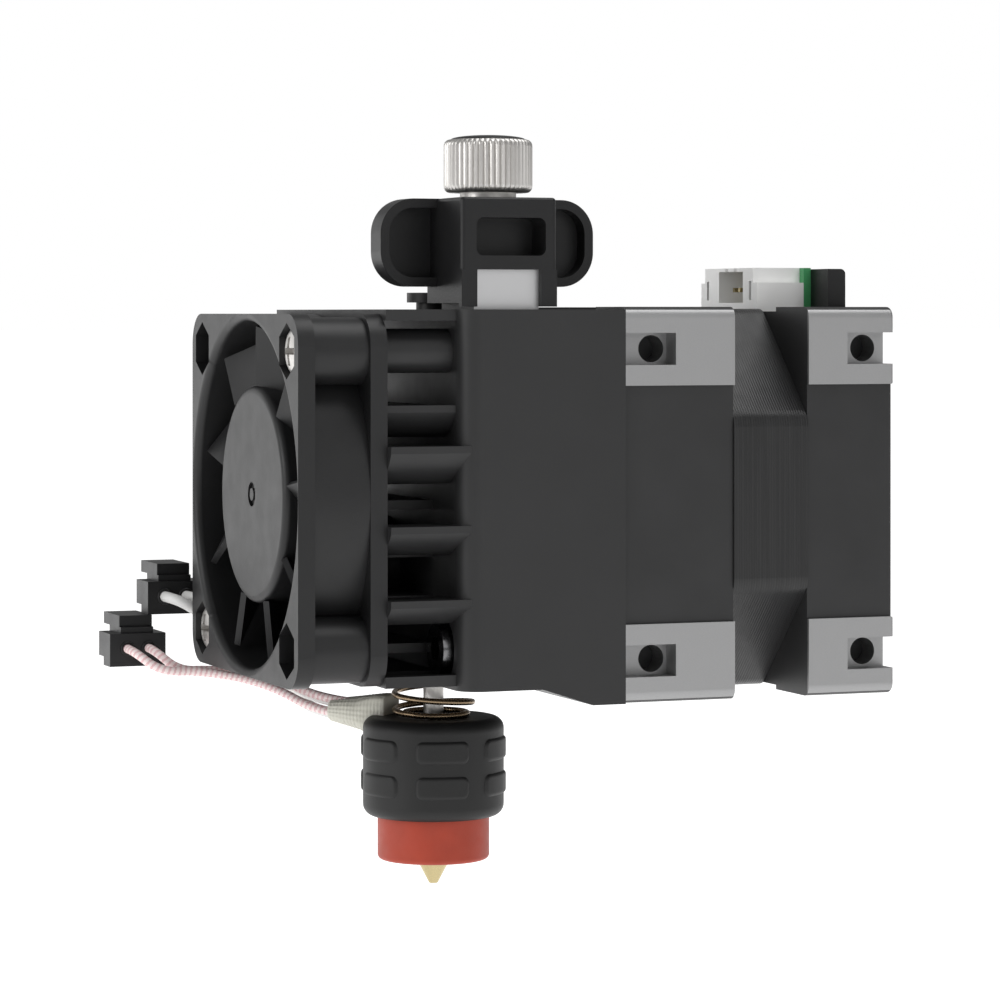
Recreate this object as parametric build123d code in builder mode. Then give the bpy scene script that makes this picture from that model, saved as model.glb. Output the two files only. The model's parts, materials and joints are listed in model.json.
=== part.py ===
"""A compact direct-drive extruder with its stepper motor, cooling fan and hot side."""
from build123d import *
from math import acos, atan2, cos, degrees, pi, radians, sin, sqrt, tan
import os

os.makedirs("parts", exist_ok=True)

# ---------------------------------------------------------------- driving dimensions, mm
# The motor's axis runs along X.  In this file x is counted from the fan's front face, and
# y and z from the motor's axis.  HUB carries that to the part's own frame, whose origin is
# the middle of the mounting screws on the +Y side of the motor, on the floors of their slots.
MOTOR_SIZE = 43.2
MOUNT_X = 53.85
SLOT_DEPTH = 2.7
HUB = Plane(origin=(-MOUNT_X, SLOT_DEPTH - MOTOR_SIZE / 2, 0))

FAN_SIZE = 40.0
FAN_DEPTH = 10.0
FAN_Z = 0.84
FAN_PITCH = 32.0
FAN_CORNER = 3.5
FAN_FLANGE = 1.9
FAN_BORE_R = 19.2
FAN_RING_R = 19.97
FAN_LIP = 0.9
FAN_HUB_R = 12.0
FAN_BLADES = 9
FIRST_BLADE = 10
BLADE_DEPTH = 5.8
POCKET_DEPTH = 2.9

BODY_FRONT = 18.0
CORNER_X = 2.5
BODY_BACK = 36.85
BODY_TOP = 21.3
BODY_BOTTOM = -19.7
DECK_BOTTOM = -19.2
SIDE_WALL = 1.2

STACK_START = 49.87
STACK_END = 58.86
MOTOR_BACK = 69.34
SLOT_PITCH_Z = 34.0
SLOT_PITCH_X = 25.8
SLOT_WIDTH = 3.5
FRONT_TAP_R = 1.5
BACK_TAP_R = 1.25
SCREW_R = 1.5
SCREW_CLEAR_R = 1.6
SCREW_PITCH = 31.0
TIE_PITCH = 28.0

FILAMENT_X = 22.4
FILAMENT_R = 1.0
DRIVE_Y, DRIVE_Z = 4.25, -7.5
GEAR_TEETH = 17
GEAR_MODULE = 0.5
WHEEL_TEETH = 33
PINION_TEETH = 10
REDUCTION_MODULE = 0.4
SHAFT_R = 2.0
RUNNING = 0.05

PIVOT_Y, PIVOT_Z = -17.2, 14.5
LEVER_X = 23.7
LEVER_TOP = 33.4
THUMB_Y = -14.0

CAP_R = 7.95
CAP_TOP = -24.5
CAP_BOTTOM = -35.6
SOCK_R = 6.3
SOCK_BOTTOM = -40.5
TIP_Z = -43.3

SLEEVE_ANGLE = 135.0
SLEEVE_Z = -24.4
SLEEVE_R = 2.1
SLEEVE_BORE_R = 1.7
SLEEVE_START = 6.3
SLEEVE_END = 12.4
WHITE_R = 0.62
STRIPED_R = 0.5


def place(x, y, z):
    """A point of this file's coordinates in the part's own frame."""
    return HUB.from_local_coords((x, y, z))


def across(x, y=0, z=0):
    """A plane across the motor's axis: local x along +Y, local y up, extruding along +X."""
    return Plane(origin=place(x, y, z), x_dir=(0, 1, 0), z_dir=(1, 0, 0))


def level(z, x=0, y=0):
    """A horizontal plane at height z, extruding upwards."""
    return Plane(origin=place(x, y, z))


def beside(y, x=0, z=0):
    """An upright plane along the motor's axis: local x along +X, local y up, extruding along -Y."""
    return Plane(origin=place(x, y, z), x_dir=(1, 0, 0), z_dir=(0, -1, 0))


def save(builder, name):
    """Label a finished piece and write it as one node."""
    builder.part.label = name
    export_step(builder.part, f"parts/{name}.step")


def involute(base_r, r):
    """The polar angle of a base circle's involute at radius r."""
    roll = sqrt(max(r * r / (base_r * base_r) - 1, 0))
    return roll - acos(min(base_r / r, 1))


def tooth_points(teeth, module, shift=0.0, play=0.05):
    """One tooth's outline about the +x direction, root to tip to root, with play in thickness."""
    pressure = radians(20)
    pitch_r = teeth * module / 2
    base_r = pitch_r * cos(pressure)
    tip_r = pitch_r + module * (0.95 + shift)
    root_r = pitch_r - module * (1.25 - shift)
    half = pi / (2 * teeth) + 2 * shift * tan(pressure) / teeth - play / (2 * pitch_r)
    half += involute(base_r, pitch_r)
    start_r = max(base_r, root_r)
    steps = 5
    radii = [start_r + (tip_r - start_r) * i / (steps - 1) for i in range(steps)]
    flank = [(r, half - involute(base_r, r)) for r in radii]
    low_r = root_r - 0.1
    lower = [(low_r * cos(half), -low_r * sin(half))] + [(r * cos(a), -r * sin(a)) for r, a in flank]
    upper = [(x, -y) for x, y in reversed(lower)]
    return lower + upper, root_r


def gear_sketch(plane, teeth, module, shift=0.0, first_tooth=0.0, play=0.05):
    """A spur gear's outline on a plane, with one tooth centred at first_tooth degrees."""
    points, root_r = tooth_points(teeth, module, shift, play)
    with BuildSketch(plane) as outline:
        Circle(root_r)
        with PolarLocations(0, teeth, start_angle=first_tooth):
            Polygon(*points, align=None)
    return outline


# ---------------------------------------------------------------- fan
with BuildPart(HUB) as fan_frame:
    with BuildSketch(across(0, z=FAN_Z), across(FAN_DEPTH - FAN_FLANGE, z=FAN_Z)):
        RectangleRounded(FAN_SIZE, FAN_SIZE, FAN_CORNER)
    extrude(amount=FAN_FLANGE)
    with BuildSketch(across(0, z=FAN_Z)):
        Circle(FAN_RING_R)
        with GridLocations(FAN_PITCH, FAN_PITCH, 2, 2):
            Circle(3.6)
    extrude(amount=FAN_DEPTH)
    with BuildSketch(across(0, z=FAN_Z)):
        Circle(FAN_BORE_R)
        with GridLocations(FAN_PITCH, FAN_PITCH, 2, 2):
            Circle(SCREW_CLEAR_R)
    extrude(amount=FAN_DEPTH, mode=Mode.SUBTRACT)
    with BuildSketch(across(0, z=FAN_Z)):
        with GridLocations(FAN_PITCH, FAN_PITCH, 2, 2):
            RegularPolygon(3.05, 6, rotation=30)
    extrude(amount=POCKET_DEPTH, mode=Mode.SUBTRACT)
    # the spider that carries the fan's own motor
    with BuildSketch(across(FAN_DEPTH - 1.4, z=FAN_Z)):
        Circle(11.5)
        with PolarLocations(15.5, 4, start_angle=45):
            Rectangle(8.5, 2.2)
    extrude(amount=1.4)
    with BuildSketch(across(3.2, z=FAN_Z)):
        Circle(2.6)
    extrude(amount=FAN_DEPTH - 3.2)
    with BuildSketch(across(3.2, z=FAN_Z)):
        Circle(1.0 + RUNNING)
    extrude(amount=FAN_DEPTH - 3.2 - 0.5, mode=Mode.SUBTRACT)
    lip = fan_frame.faces().sort_by(Axis.X)[0].edges().filter_by(GeomType.CIRCLE).sort_by(SortBy.RADIUS)[-1]
    fillet(lip, FAN_LIP)
save(fan_frame, "fan_frame")

with BuildPart(HUB) as fan_impeller:
    with BuildSketch(across(1.0, z=FAN_Z)):
        Circle(FAN_HUB_R)
    extrude(amount=6.6)
    fillet(fan_impeller.edges().filter_by(GeomType.CIRCLE).sort_by(Axis.X)[0], 0.8)
    with BuildSketch(across(1.0, z=FAN_Z)):
        Circle(1.35)
        Circle(0.7, mode=Mode.SUBTRACT)
    extrude(amount=0.35, mode=Mode.SUBTRACT)
    with BuildSketch(across(2.2, z=FAN_Z)):
        Circle(FAN_HUB_R - 1.1)
    extrude(amount=6.0, mode=Mode.SUBTRACT)
    with BuildSketch(across(2.0, z=FAN_Z)):
        Circle(1.0)
    extrude(amount=7.2)
    # twisted blades, each lofted from the hub to its tip
    blade_root, blade_tip = FAN_HUB_R - 0.3, FAN_BORE_R - 1.2
    for blade in range(FAN_BLADES):
        turn = radians(FIRST_BLADE + 360 / FAN_BLADES * (blade + 0.45))
        outward = Vector(0, cos(turn), sin(turn))
        for radius, pitch in ((blade_root, 49), (blade_tip, 60)):
            centre = Vector(*place(4.4, 0, FAN_Z)) + outward * radius
            with BuildSketch(Plane(origin=centre, x_dir=(1, 0, 0), z_dir=tuple(outward))):
                Rectangle(BLADE_DEPTH / cos(radians(pitch)), 0.7, rotation=-pitch)
        loft()
save(fan_impeller, "fan_impeller")

with BuildPart(HUB) as fan_magnet:
    with BuildSketch(across(3.0, z=FAN_Z)):
        Circle(FAN_HUB_R - 1.1)
        Circle(FAN_HUB_R - 2.3, mode=Mode.SUBTRACT)
    extrude(amount=4.4)
save(fan_magnet, "fan_magnet_ring")

with BuildPart(HUB) as fan_stator:
    with BuildSketch(across(4.0, z=FAN_Z)):
        Circle(4.4)
        with PolarLocations(6.4, 4):
            Rectangle(5.2, 2.4)
        with PolarLocations(8.4, 4):
            Rectangle(1.2, 7.0)
        Circle(2.6 + RUNNING, mode=Mode.SUBTRACT)
    extrude(amount=2.4)
    with BuildSketch(across(3.4, z=FAN_Z)):
        with PolarLocations(6.2, 4):
            Rectangle(2.6, 4.6)
            Rectangle(2.6, 2.4, mode=Mode.SUBTRACT)
    extrude(amount=3.6)
save(fan_stator, "fan_stator")


def pan_head_screw(head_x, y, z, shank_end):
    """Add a cross-head pan screw along +X to the open part, with the top of its head at head_x."""
    with BuildSketch(across(head_x, y, z)) as head:
        Circle(2.5)
    extrude(head.sketch, amount=1.9)
    with BuildSketch(across(head_x + 1.9, y, z)) as shank:
        Circle(SCREW_R)
    extrude(shank.sketch, amount=shank_end - head_x - 1.9)
    with BuildSketch(across(head_x, y, z)) as cross:
        Rectangle(3.0, 0.7)
        Rectangle(0.7, 3.0)
    extrude(cross.sketch, amount=1.0, mode=Mode.SUBTRACT)


FAN_SCREWS = [(-FAN_PITCH / 2, FAN_Z + FAN_PITCH / 2), (FAN_PITCH / 2, FAN_Z - FAN_PITCH / 2)]
FAN_SCREW_END = 15.6
with BuildPart(HUB) as fan_screws:
    for screw_y, screw_z in FAN_SCREWS:
        pan_head_screw(POCKET_DEPTH - 1.9, screw_y, screw_z, FAN_SCREW_END)
save(fan_screws, "fan_screws")

# ---------------------------------------------------------------- housing
HALF = MOTOR_SIZE / 2
VANES = ((11.0, 3.5, 19.3), (6.65, 4.2, 21.2), (-1.9, 3.2, 21.2), (-9.8, 2.7, 21.2))
VANE_FOOT = 15.5
VANE_EDGE = 0.75
ROOM_START, ROOM_END = 19.7, 27.7
ROOM_SIDE = -HALF + SIDE_WALL
WHEEL_ROOM_X = 30.2
PILOT_X = 35.3
PILOT_R = 11.0
HEAD_SEAT_X = 20.0
BODY_SCREWS = [(-SCREW_PITCH / 2, -SCREW_PITCH / 2), (SCREW_PITCH / 2, SCREW_PITCH / 2)]
BEARING_R = 4.0
BEARING_W = 2.0
THREAD_R = 2.9
THREAD_TOP = -14.0
GUIDE_R = 1.95
LEDGE_Z = 15.8
PIN_R = 1.4
PIN_START, PIN_END = 18.9, 29.2

with BuildPart(HUB) as housing:
    # the body, with its front corners rounded
    with BuildSketch(level(-HALF)):
        with BuildLine():
            FilletPolyline((BODY_BACK, -HALF), (BODY_FRONT, -HALF), (BODY_FRONT, HALF), (BODY_BACK, HALF),
                           radius=CORNER_X)
            Line((BODY_BACK, HALF), (BODY_BACK, -HALF))
        make_face()
    extrude(amount=BODY_TOP + HALF)
    # the underside rises towards the front
    with BuildSketch(beside(HALF + 1)):
        Polygon((0, -HALF - 1), (33.0, -HALF - 1), (33.0, -HALF), (27.2, BODY_BOTTOM), (0, BODY_BOTTOM),
                align=None)
    extrude(amount=MOTOR_SIZE + 2, mode=Mode.SUBTRACT)
    # upper and lower decks between the fan and the body
    with BuildSketch(across(FAN_DEPTH)):
        with Locations((0, BODY_TOP - 0.6), (0, DECK_BOTTOM + 0.6)):
            Rectangle(2 * 19.4, 1.2)
    extrude(amount=BODY_FRONT - FAN_DEPTH + 1)
    # air vanes on both sides: a straight edge over an outer face that curls under, run out
    # over the body's rounded corners
    with BuildSketch(across(FAN_DEPTH)):
        for top, height, reach in VANES:
            for sign in (-1, 1):
                edge = (sign * reach, top - VANE_EDGE)
                foot = (sign * VANE_FOOT, top - height)
                with BuildLine():
                    Polyline(foot, (sign * VANE_FOOT, top), (sign * reach, top), edge)
                    RadiusArc(edge, foot, sign * 6.0)
                make_face()
    extrude(amount=BODY_FRONT - FAN_DEPTH + 1.6)
    # thin cooling fins in the middle of the air path, and the wall behind the front bearing
    with BuildSketch(across(12.0)):
        with GridLocations(0, 5.2, 1, 7):
            Rectangle(24, 1.0)
    extrude(amount=BODY_FRONT - 12.0 + 0.5)
    with BuildSketch(across(15.5)):
        with Locations((DRIVE_Y, DRIVE_Z)):
            Circle(BEARING_R + 1.6)
    extrude(amount=BODY_FRONT - 15.5 + 0.5)
    # bosses for the fan's screws
    with BuildSketch(across(FAN_DEPTH)):
        with Locations(*FAN_SCREWS):
            Circle(2.4)
    extrude(amount=BODY_FRONT - FAN_DEPTH + 0.5)
    with BuildSketch(across(FAN_DEPTH)):
        with Locations(*FAN_SCREWS):
            Circle(SCREW_R + RUNNING)
    extrude(amount=FAN_SCREW_END - FAN_DEPTH + 0.2, mode=Mode.SUBTRACT)
    # screws that hold the body to the motor, their heads sunk from the front
    with BuildSketch(across(FAN_DEPTH)):
        with Locations(*BODY_SCREWS):
            Circle(3.3)
    extrude(amount=HEAD_SEAT_X - FAN_DEPTH, mode=Mode.SUBTRACT)
    with BuildSketch(across(FAN_DEPTH)):
        with Locations(*BODY_SCREWS):
            Circle(SCREW_CLEAR_R)
    extrude(amount=BODY_BACK - FAN_DEPTH, mode=Mode.SUBTRACT)
    # the room of the two filament gears and of the arm, open at the top
    with BuildSketch(across(ROOM_START)):
        Polygon((ROOM_SIDE, HALF + 1), (-8.6, HALF + 1), (-8.6, LEDGE_Z), (-14.9, LEDGE_Z), (-14.9, 11.8),
                (-8.6, 4.6), (-1.3, -3.5), (-1.3, -9.0), (-8.0, -13.4), (-12.5, -11.5), (ROOM_SIDE, 0),
                align=None)
        with Locations((DRIVE_Y, DRIVE_Z)):
            Circle(5.25)
        with Locations((-DRIVE_Y, DRIVE_Z), (-DRIVE_Y - 1.3, DRIVE_Z - 0.7)):
            Circle(5.3)
    extrude(amount=ROOM_END - ROOM_START, mode=Mode.SUBTRACT)
    # the room of the reduction gears, and the pilot bore, open towards the motor
    with BuildSketch(across(WHEEL_ROOM_X)):
        with Locations((DRIVE_Y, DRIVE_Z)):
            Circle(7.5)
        Circle(3.4)
    extrude(amount=BODY_BACK - WHEEL_ROOM_X, mode=Mode.SUBTRACT)
    with BuildSketch(across(PILOT_X)):
        Circle(PILOT_R + RUNNING)
    extrude(amount=BODY_BACK - PILOT_X, mode=Mode.SUBTRACT)
    # bearing seats and the bore between them
    for seat_x in (ROOM_START - BEARING_W, WHEEL_ROOM_X - BEARING_W):
        with BuildSketch(across(seat_x)):
            with Locations((DRIVE_Y, DRIVE_Z)):
                Circle(BEARING_R)
        extrude(amount=BEARING_W, mode=Mode.SUBTRACT)
    with BuildSketch(across(ROOM_START - BEARING_W - 0.5)):
        with Locations((DRIVE_Y, DRIVE_Z)):
            Circle(SHAFT_R + 0.8)
    extrude(amount=WHEEL_ROOM_X - ROOM_START + BEARING_W + 0.5, mode=Mode.SUBTRACT)
    # the pivot pin's hole
    with BuildSketch(across(PIN_START)):
        with Locations((PIVOT_Y, PIVOT_Z)):
            Circle(PIN_R)
    extrude(amount=PIN_END - PIN_START, mode=Mode.SUBTRACT)
    # the filament's way in, and the thread of the hot side below
    with BuildSketch(level(DRIVE_Z, FILAMENT_X)):
        Circle(FILAMENT_R)
    extrude(amount=BODY_TOP - DRIVE_Z, mode=Mode.SUBTRACT)
    with BuildSketch(level(BODY_TOP - 5.0, FILAMENT_X)):
        Circle(GUIDE_R)
    extrude(amount=5.0, mode=Mode.SUBTRACT)
    with BuildSketch(level(BODY_BOTTOM - 1, FILAMENT_X)):
        Circle(THREAD_R)
    extrude(amount=THREAD_TOP - BODY_BOTTOM + 1, mode=Mode.SUBTRACT)
    with BuildSketch(level(THREAD_TOP - 0.1, FILAMENT_X)):
        Circle(FILAMENT_R)
    extrude(amount=5.0, mode=Mode.SUBTRACT)
save(housing, "housing")


def socket_screw(head_x, y, z, shank_end):
    """Add a socket-head screw along +X to the open part, with the top of its head at head_x."""
    with BuildSketch(across(head_x, y, z)) as head:
        Circle(2.75)
    extrude(head.sketch, amount=3.0)
    with BuildSketch(across(head_x + 3.0, y, z)) as shank:
        Circle(SCREW_R)
    extrude(shank.sketch, amount=shank_end - head_x - 3.0)
    with BuildSketch(across(head_x, y, z)) as socket:
        RegularPolygon(1.44, 6)
    extrude(socket.sketch, amount=1.5, mode=Mode.SUBTRACT)


BODY_SCREW_END = 39.3
with BuildPart(HUB) as housing_screws:
    for screw_y, screw_z in BODY_SCREWS:
        socket_screw(HEAD_SEAT_X - 3.0, screw_y, screw_z, BODY_SCREW_END)
save(housing_screws, "housing_screws")

GUIDE_TOP = 23.2
GUIDE_BORE_R = 1.2
with BuildPart(HUB) as filament_guide:
    with BuildSketch(level(BODY_TOP - 5.0, FILAMENT_X)):
        Circle(GUIDE_R)
    extrude(amount=GUIDE_TOP - BODY_TOP + 5.0)
    with BuildSketch(level(GUIDE_TOP - 1.1, FILAMENT_X)):
        Circle(3.0)
    extrude(amount=1.1)
    with BuildSketch(level(BODY_TOP - 5.0, FILAMENT_X)):
        Circle(GUIDE_BORE_R)
    extrude(amount=GUIDE_TOP - BODY_TOP + 5.0, mode=Mode.SUBTRACT)
save(filament_guide, "filament_guide")

# ---------------------------------------------------------------- motor
MOTOR_CORNER = 1.2
PANEL_HALF = 13.0
PANEL_DEPTH = 0.5
BEARING_X = 36.6
REAR_BEARING_X = 62.6
MOTOR_BEARING_R = 6.5
MOTOR_BEARING_W = 4.0
WINDING_ROOM_R = 18.2
ROTOR_R = 11.7
POLE_BORE_R = 12.0
MOTOR_SHAFT_R = 2.5
TAP_DEPTH = 3.0
SCREW_BORE_END = 39.6
TIE_R = 1.25
TIE_END = 44.0


def cap_outline(plane):
    """A motor end cap's outline: a square with eased corners and a shallow panel on each side."""
    with BuildSketch(plane) as outline:
        RectangleRounded(MOTOR_SIZE, MOTOR_SIZE, MOTOR_CORNER)
        with PolarLocations(HALF, 4):
            Rectangle(2 * PANEL_DEPTH, 2 * PANEL_HALF, mode=Mode.SUBTRACT)
    return outline.sketch


def cut_slots(start, end, hole_x):
    """Cut the mounting slots of both sides, and the tapped holes in their floors, from the open part."""
    for top_y in (SLOT_DEPTH - HALF, HALF):
        with BuildSketch(beside(top_y, (start + end) / 2)) as slots:
            with GridLocations(1, SLOT_PITCH_Z, 1, 2):
                Rectangle(end - start, SLOT_WIDTH)
        extrude(slots.sketch, amount=SLOT_DEPTH, mode=Mode.SUBTRACT)
    for hole_y, tap_r in ((SLOT_DEPTH - HALF + TAP_DEPTH, FRONT_TAP_R), (HALF - SLOT_DEPTH, BACK_TAP_R)):
        with BuildSketch(beside(hole_y, hole_x)) as holes:
            with GridLocations(1, SLOT_PITCH_Z, 1, 2):
                Circle(tap_r)
        extrude(holes.sketch, amount=TAP_DEPTH, mode=Mode.SUBTRACT)


with BuildPart(HUB) as front_cap:
    extrude(cap_outline(across(BODY_BACK)), amount=STACK_START - BODY_BACK)
    with BuildSketch(across(PILOT_X + RUNNING)):
        Circle(PILOT_R)
    extrude(amount=BODY_BACK - PILOT_X - RUNNING)
    with BuildSketch(across(42.0)):
        Circle(WINDING_ROOM_R)
    extrude(amount=STACK_START - 42.0, mode=Mode.SUBTRACT)
    with BuildSketch(across(BEARING_X)):
        Circle(MOTOR_BEARING_R)
    extrude(amount=42.0 - BEARING_X, mode=Mode.SUBTRACT)
    with BuildSketch(across(PILOT_X)):
        Circle(MOTOR_SHAFT_R + 0.6)
    extrude(amount=BEARING_X - PILOT_X, mode=Mode.SUBTRACT)
    with BuildSketch(across(BODY_BACK)):
        with Locations(*BODY_SCREWS):
            Circle(SCREW_R + RUNNING)
    extrude(amount=SCREW_BORE_END - BODY_BACK, mode=Mode.SUBTRACT)
    with BuildSketch(across(TIE_END - 0.2)):
        with GridLocations(TIE_PITCH, TIE_PITCH, 2, 2):
            Circle(TIE_R + RUNNING)
    extrude(amount=STACK_START - TIE_END + 0.2, mode=Mode.SUBTRACT)
    cut_slots(BODY_BACK - 3.0, 42.8, MOUNT_X - SLOT_PITCH_X / 2)
save(front_cap, "motor_front_cap")

STACK_CHAMFER = 12.0
with BuildPart(HUB) as laminations:
    with BuildSketch(across(STACK_START)) as stack_outline:
        Rectangle(MOTOR_SIZE - 0.4, MOTOR_SIZE - 0.4)
        chamfer(stack_outline.vertices(), STACK_CHAMFER)
        fillet(stack_outline.vertices(), 2.5)
        Circle(17.6, mode=Mode.SUBTRACT)
        with PolarLocations(15.2, 8):
            Rectangle(5.6, 4.2)
        with PolarLocations(12.7, 8):
            Rectangle(1.4, 7.4)
        Circle(POLE_BORE_R, mode=Mode.SUBTRACT)
        with GridLocations(TIE_PITCH, TIE_PITCH, 2, 2):
            Circle(TIE_R + RUNNING, mode=Mode.SUBTRACT)
    extrude(amount=STACK_END - STACK_START)
save(laminations, "stator_laminations")

WINDING_OVERHANG = 2.6
with BuildPart(HUB) as windings:
    with BuildSketch(across(STACK_START - WINDING_OVERHANG)):
        with PolarLocations(15.4, 8):
            Rectangle(3.4, 8.0)
    extrude(amount=STACK_END - STACK_START + 2 * WINDING_OVERHANG)
    with BuildSketch(across(STACK_START - 0.2)):
        with PolarLocations(15.4, 8):
            Rectangle(3.6, 4.3)
    extrude(amount=STACK_END - STACK_START + 0.4, mode=Mode.SUBTRACT)
save(windings, "stator_windings")

with BuildPart(HUB) as rear_cap:
    extrude(cap_outline(across(STACK_END)), amount=MOTOR_BACK - STACK_END)
    fillet(rear_cap.faces().sort_by(Axis.X)[-1].edges(), 0.35)
    with BuildSketch(across(STACK_END)):
        Circle(WINDING_ROOM_R)
    extrude(amount=65.0 - STACK_END, mode=Mode.SUBTRACT)
    with BuildSketch(across(REAR_BEARING_X)):
        Circle(MOTOR_BEARING_R + 1.5)
    extrude(amount=65.5 - REAR_BEARING_X)
    with BuildSketch(across(REAR_BEARING_X)):
        Circle(MOTOR_BEARING_R)
    extrude(amount=MOTOR_BEARING_W, mode=Mode.SUBTRACT)
    with BuildSketch(across(REAR_BEARING_X)):
        Circle(MOTOR_SHAFT_R + 0.6)
    extrude(amount=MOTOR_BEARING_W + 1.0, mode=Mode.SUBTRACT)
    with BuildSketch(across(STACK_END)):
        with GridLocations(TIE_PITCH, TIE_PITCH, 2, 2):
            Circle(TIE_R + RUNNING)
    extrude(amount=MOTOR_BACK - STACK_END, mode=Mode.SUBTRACT)
    with BuildSketch(across(MOTOR_BACK - 2.0)):
        with GridLocations(TIE_PITCH, TIE_PITCH, 2, 2):
            Circle(2.15)
    extrude(amount=2.0, mode=Mode.SUBTRACT)
    cut_slots(65.35 - SLOT_WIDTH / 2, MOTOR_BACK + 3.0, MOUNT_X + SLOT_PITCH_X / 2)
save(rear_cap, "motor_rear_cap")

with BuildPart(HUB) as tie_bolts:
    with BuildSketch(across(MOTOR_BACK - 2.0)):
        with GridLocations(TIE_PITCH, TIE_PITCH, 2, 2):
            Circle(1.9)
    extrude(amount=1.6)
    with BuildSketch(across(TIE_END)):
        with GridLocations(TIE_PITCH, TIE_PITCH, 2, 2):
            Circle(TIE_R)
    extrude(amount=MOTOR_BACK - 2.0 - TIE_END)
    with BuildSketch(across(MOTOR_BACK - 1.4)):
        with GridLocations(TIE_PITCH, TIE_PITCH, 2, 2):
            Rectangle(2.4, 0.6)
            Rectangle(0.6, 2.4)
    extrude(amount=1.0, mode=Mode.SUBTRACT)
save(tie_bolts, "motor_tie_bolts")

with BuildPart(HUB) as motor_bearings:
    for bearing_x in (BEARING_X, REAR_BEARING_X):
        with BuildSketch(across(bearing_x)):
            Circle(MOTOR_BEARING_R)
            Circle(MOTOR_SHAFT_R + RUNNING, mode=Mode.SUBTRACT)
        extrude(amount=MOTOR_BEARING_W)
save(motor_bearings, "motor_bearings")

PINION_START, PINION_END = 30.5, 34.9
PINION_BORE_R = 1.2
with BuildPart(HUB) as motor_shaft:
    with BuildSketch(across(PINION_END)):
        Circle(MOTOR_SHAFT_R)
    extrude(amount=67.0 - PINION_END)
    with BuildSketch(across(PINION_START)):
        Circle(PINION_BORE_R)
    extrude(amount=PINION_END - PINION_START)
save(motor_shaft, "motor_shaft")

with BuildPart(HUB) as rotor:
    for cup_x, cup_length in ((48.2, 5.4), (55.2, 5.4)):
        with BuildSketch(across(cup_x)):
            Circle(ROTOR_R)
        extrude(amount=cup_length)
    with BuildSketch(across(53.6)):
        Circle(ROTOR_R - 1.5)
    extrude(amount=1.6)
    with BuildSketch(across(48.2)):
        Circle(MOTOR_SHAFT_R)
    extrude(amount=12.4, mode=Mode.SUBTRACT)
save(rotor, "motor_rotor")

# the motor's plug socket on the upper side, opening towards the fan
HEADER_X = 58.9
HEADER_LENGTH = 5.9
HEADER_WIDTH = 15.6
HEADER_TOP = 26.1
SHELF_TOP = 24.4
SOCKET_WIDTH = 6.7
SOCKET_Y = -0.6
COVER_WIDTH = 24.6
PANEL_Z = HALF - PANEL_DEPTH
BOARD_THICKNESS = 0.9
COVER_END = 67.9
with BuildPart(HUB) as header:
    with BuildSketch(across(HEADER_X, z=PANEL_Z)):
        with Locations((0, (SHELF_TOP - PANEL_Z) / 2)):
            Rectangle(HEADER_WIDTH, SHELF_TOP - PANEL_Z)
        with Locations((0, (HEADER_TOP - PANEL_Z) / 2)):
            Rectangle(HEADER_WIDTH - 2.2, HEADER_TOP - PANEL_Z)
    extrude(amount=HEADER_LENGTH)
    with BuildSketch(across(HEADER_X, z=PANEL_Z)):
        with Locations((SOCKET_Y, (HEADER_TOP - PANEL_Z) / 2 + 0.3)):
            Rectangle(SOCKET_WIDTH, HEADER_TOP - PANEL_Z - 1.4)
        # a guide slot each side of the socket
        with Locations((SOCKET_Y - 5.3, 2.4), (SOCKET_Y + 6.5, 2.4)):
            Rectangle(0.6, 2.2)
    extrude(amount=HEADER_LENGTH - 1.2, mode=Mode.SUBTRACT)
    # the socket's floor is let out at the top for the plug's two keys
    with BuildSketch(across(HEADER_X, z=HEADER_TOP)):
        with Locations((SOCKET_Y - 1.2, 0), (SOCKET_Y + 1.2, 0)):
            Rectangle(0.8, 1.6)
    extrude(amount=2.0, mode=Mode.SUBTRACT)
save(header, "motor_header")

with BuildPart(HUB) as header_pins:
    with BuildSketch(across(HEADER_X + 1.4, SOCKET_Y, (PANEL_Z + HEADER_TOP) / 2)):
        with GridLocations(1.5, 1, 4, 1):
            Rectangle(0.5, 0.5)
    extrude(amount=HEADER_LENGTH - 2.6)
save(header_pins, "motor_header_pins")

with BuildPart(HUB) as header_board:
    with BuildSketch(across(HEADER_X + HEADER_LENGTH, z=PANEL_Z)):
        with Locations((0, (HEADER_TOP - PANEL_Z) / 2)):
            Rectangle(HEADER_WIDTH, HEADER_TOP - PANEL_Z)
    extrude(amount=BOARD_THICKNESS)
save(header_board, "motor_header_board")

with BuildPart(HUB) as header_cover:
    cover_x = HEADER_X + HEADER_LENGTH + BOARD_THICKNESS
    with BuildSketch(across(cover_x, z=PANEL_Z)):
        with Locations((0, (HEADER_TOP - 0.15 - PANEL_Z) / 2)):
            Rectangle(COVER_WIDTH, HEADER_TOP - 0.15 - PANEL_Z)
    extrude(amount=COVER_END - cover_x)
    fillet(header_cover.edges().filter_by(Axis.Y).sort_by(Axis.X)[-2:].sort_by(Axis.Z)[-1], 0.6)
save(header_cover, "motor_header_cover")

# ---------------------------------------------------------------- gears
WHEEL_START, WHEEL_WIDTH = 31.0, 3.6
MESH_ANGLE = degrees(atan2(DRIVE_Z, DRIVE_Y))
WHEEL_PHASE = MESH_ANGLE + 180 + 180 / WHEEL_TEETH

with BuildPart(HUB) as pinion:
    pinion_outline = gear_sketch(across(PINION_START), PINION_TEETH, REDUCTION_MODULE, 0.5, MESH_ANGLE)
    extrude(pinion_outline.sketch, amount=PINION_END - PINION_START)
    with BuildSketch(across(PINION_START)):
        Circle(PINION_BORE_R)
    extrude(amount=PINION_END - PINION_START, mode=Mode.SUBTRACT)
save(pinion, "motor_pinion")

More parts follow.
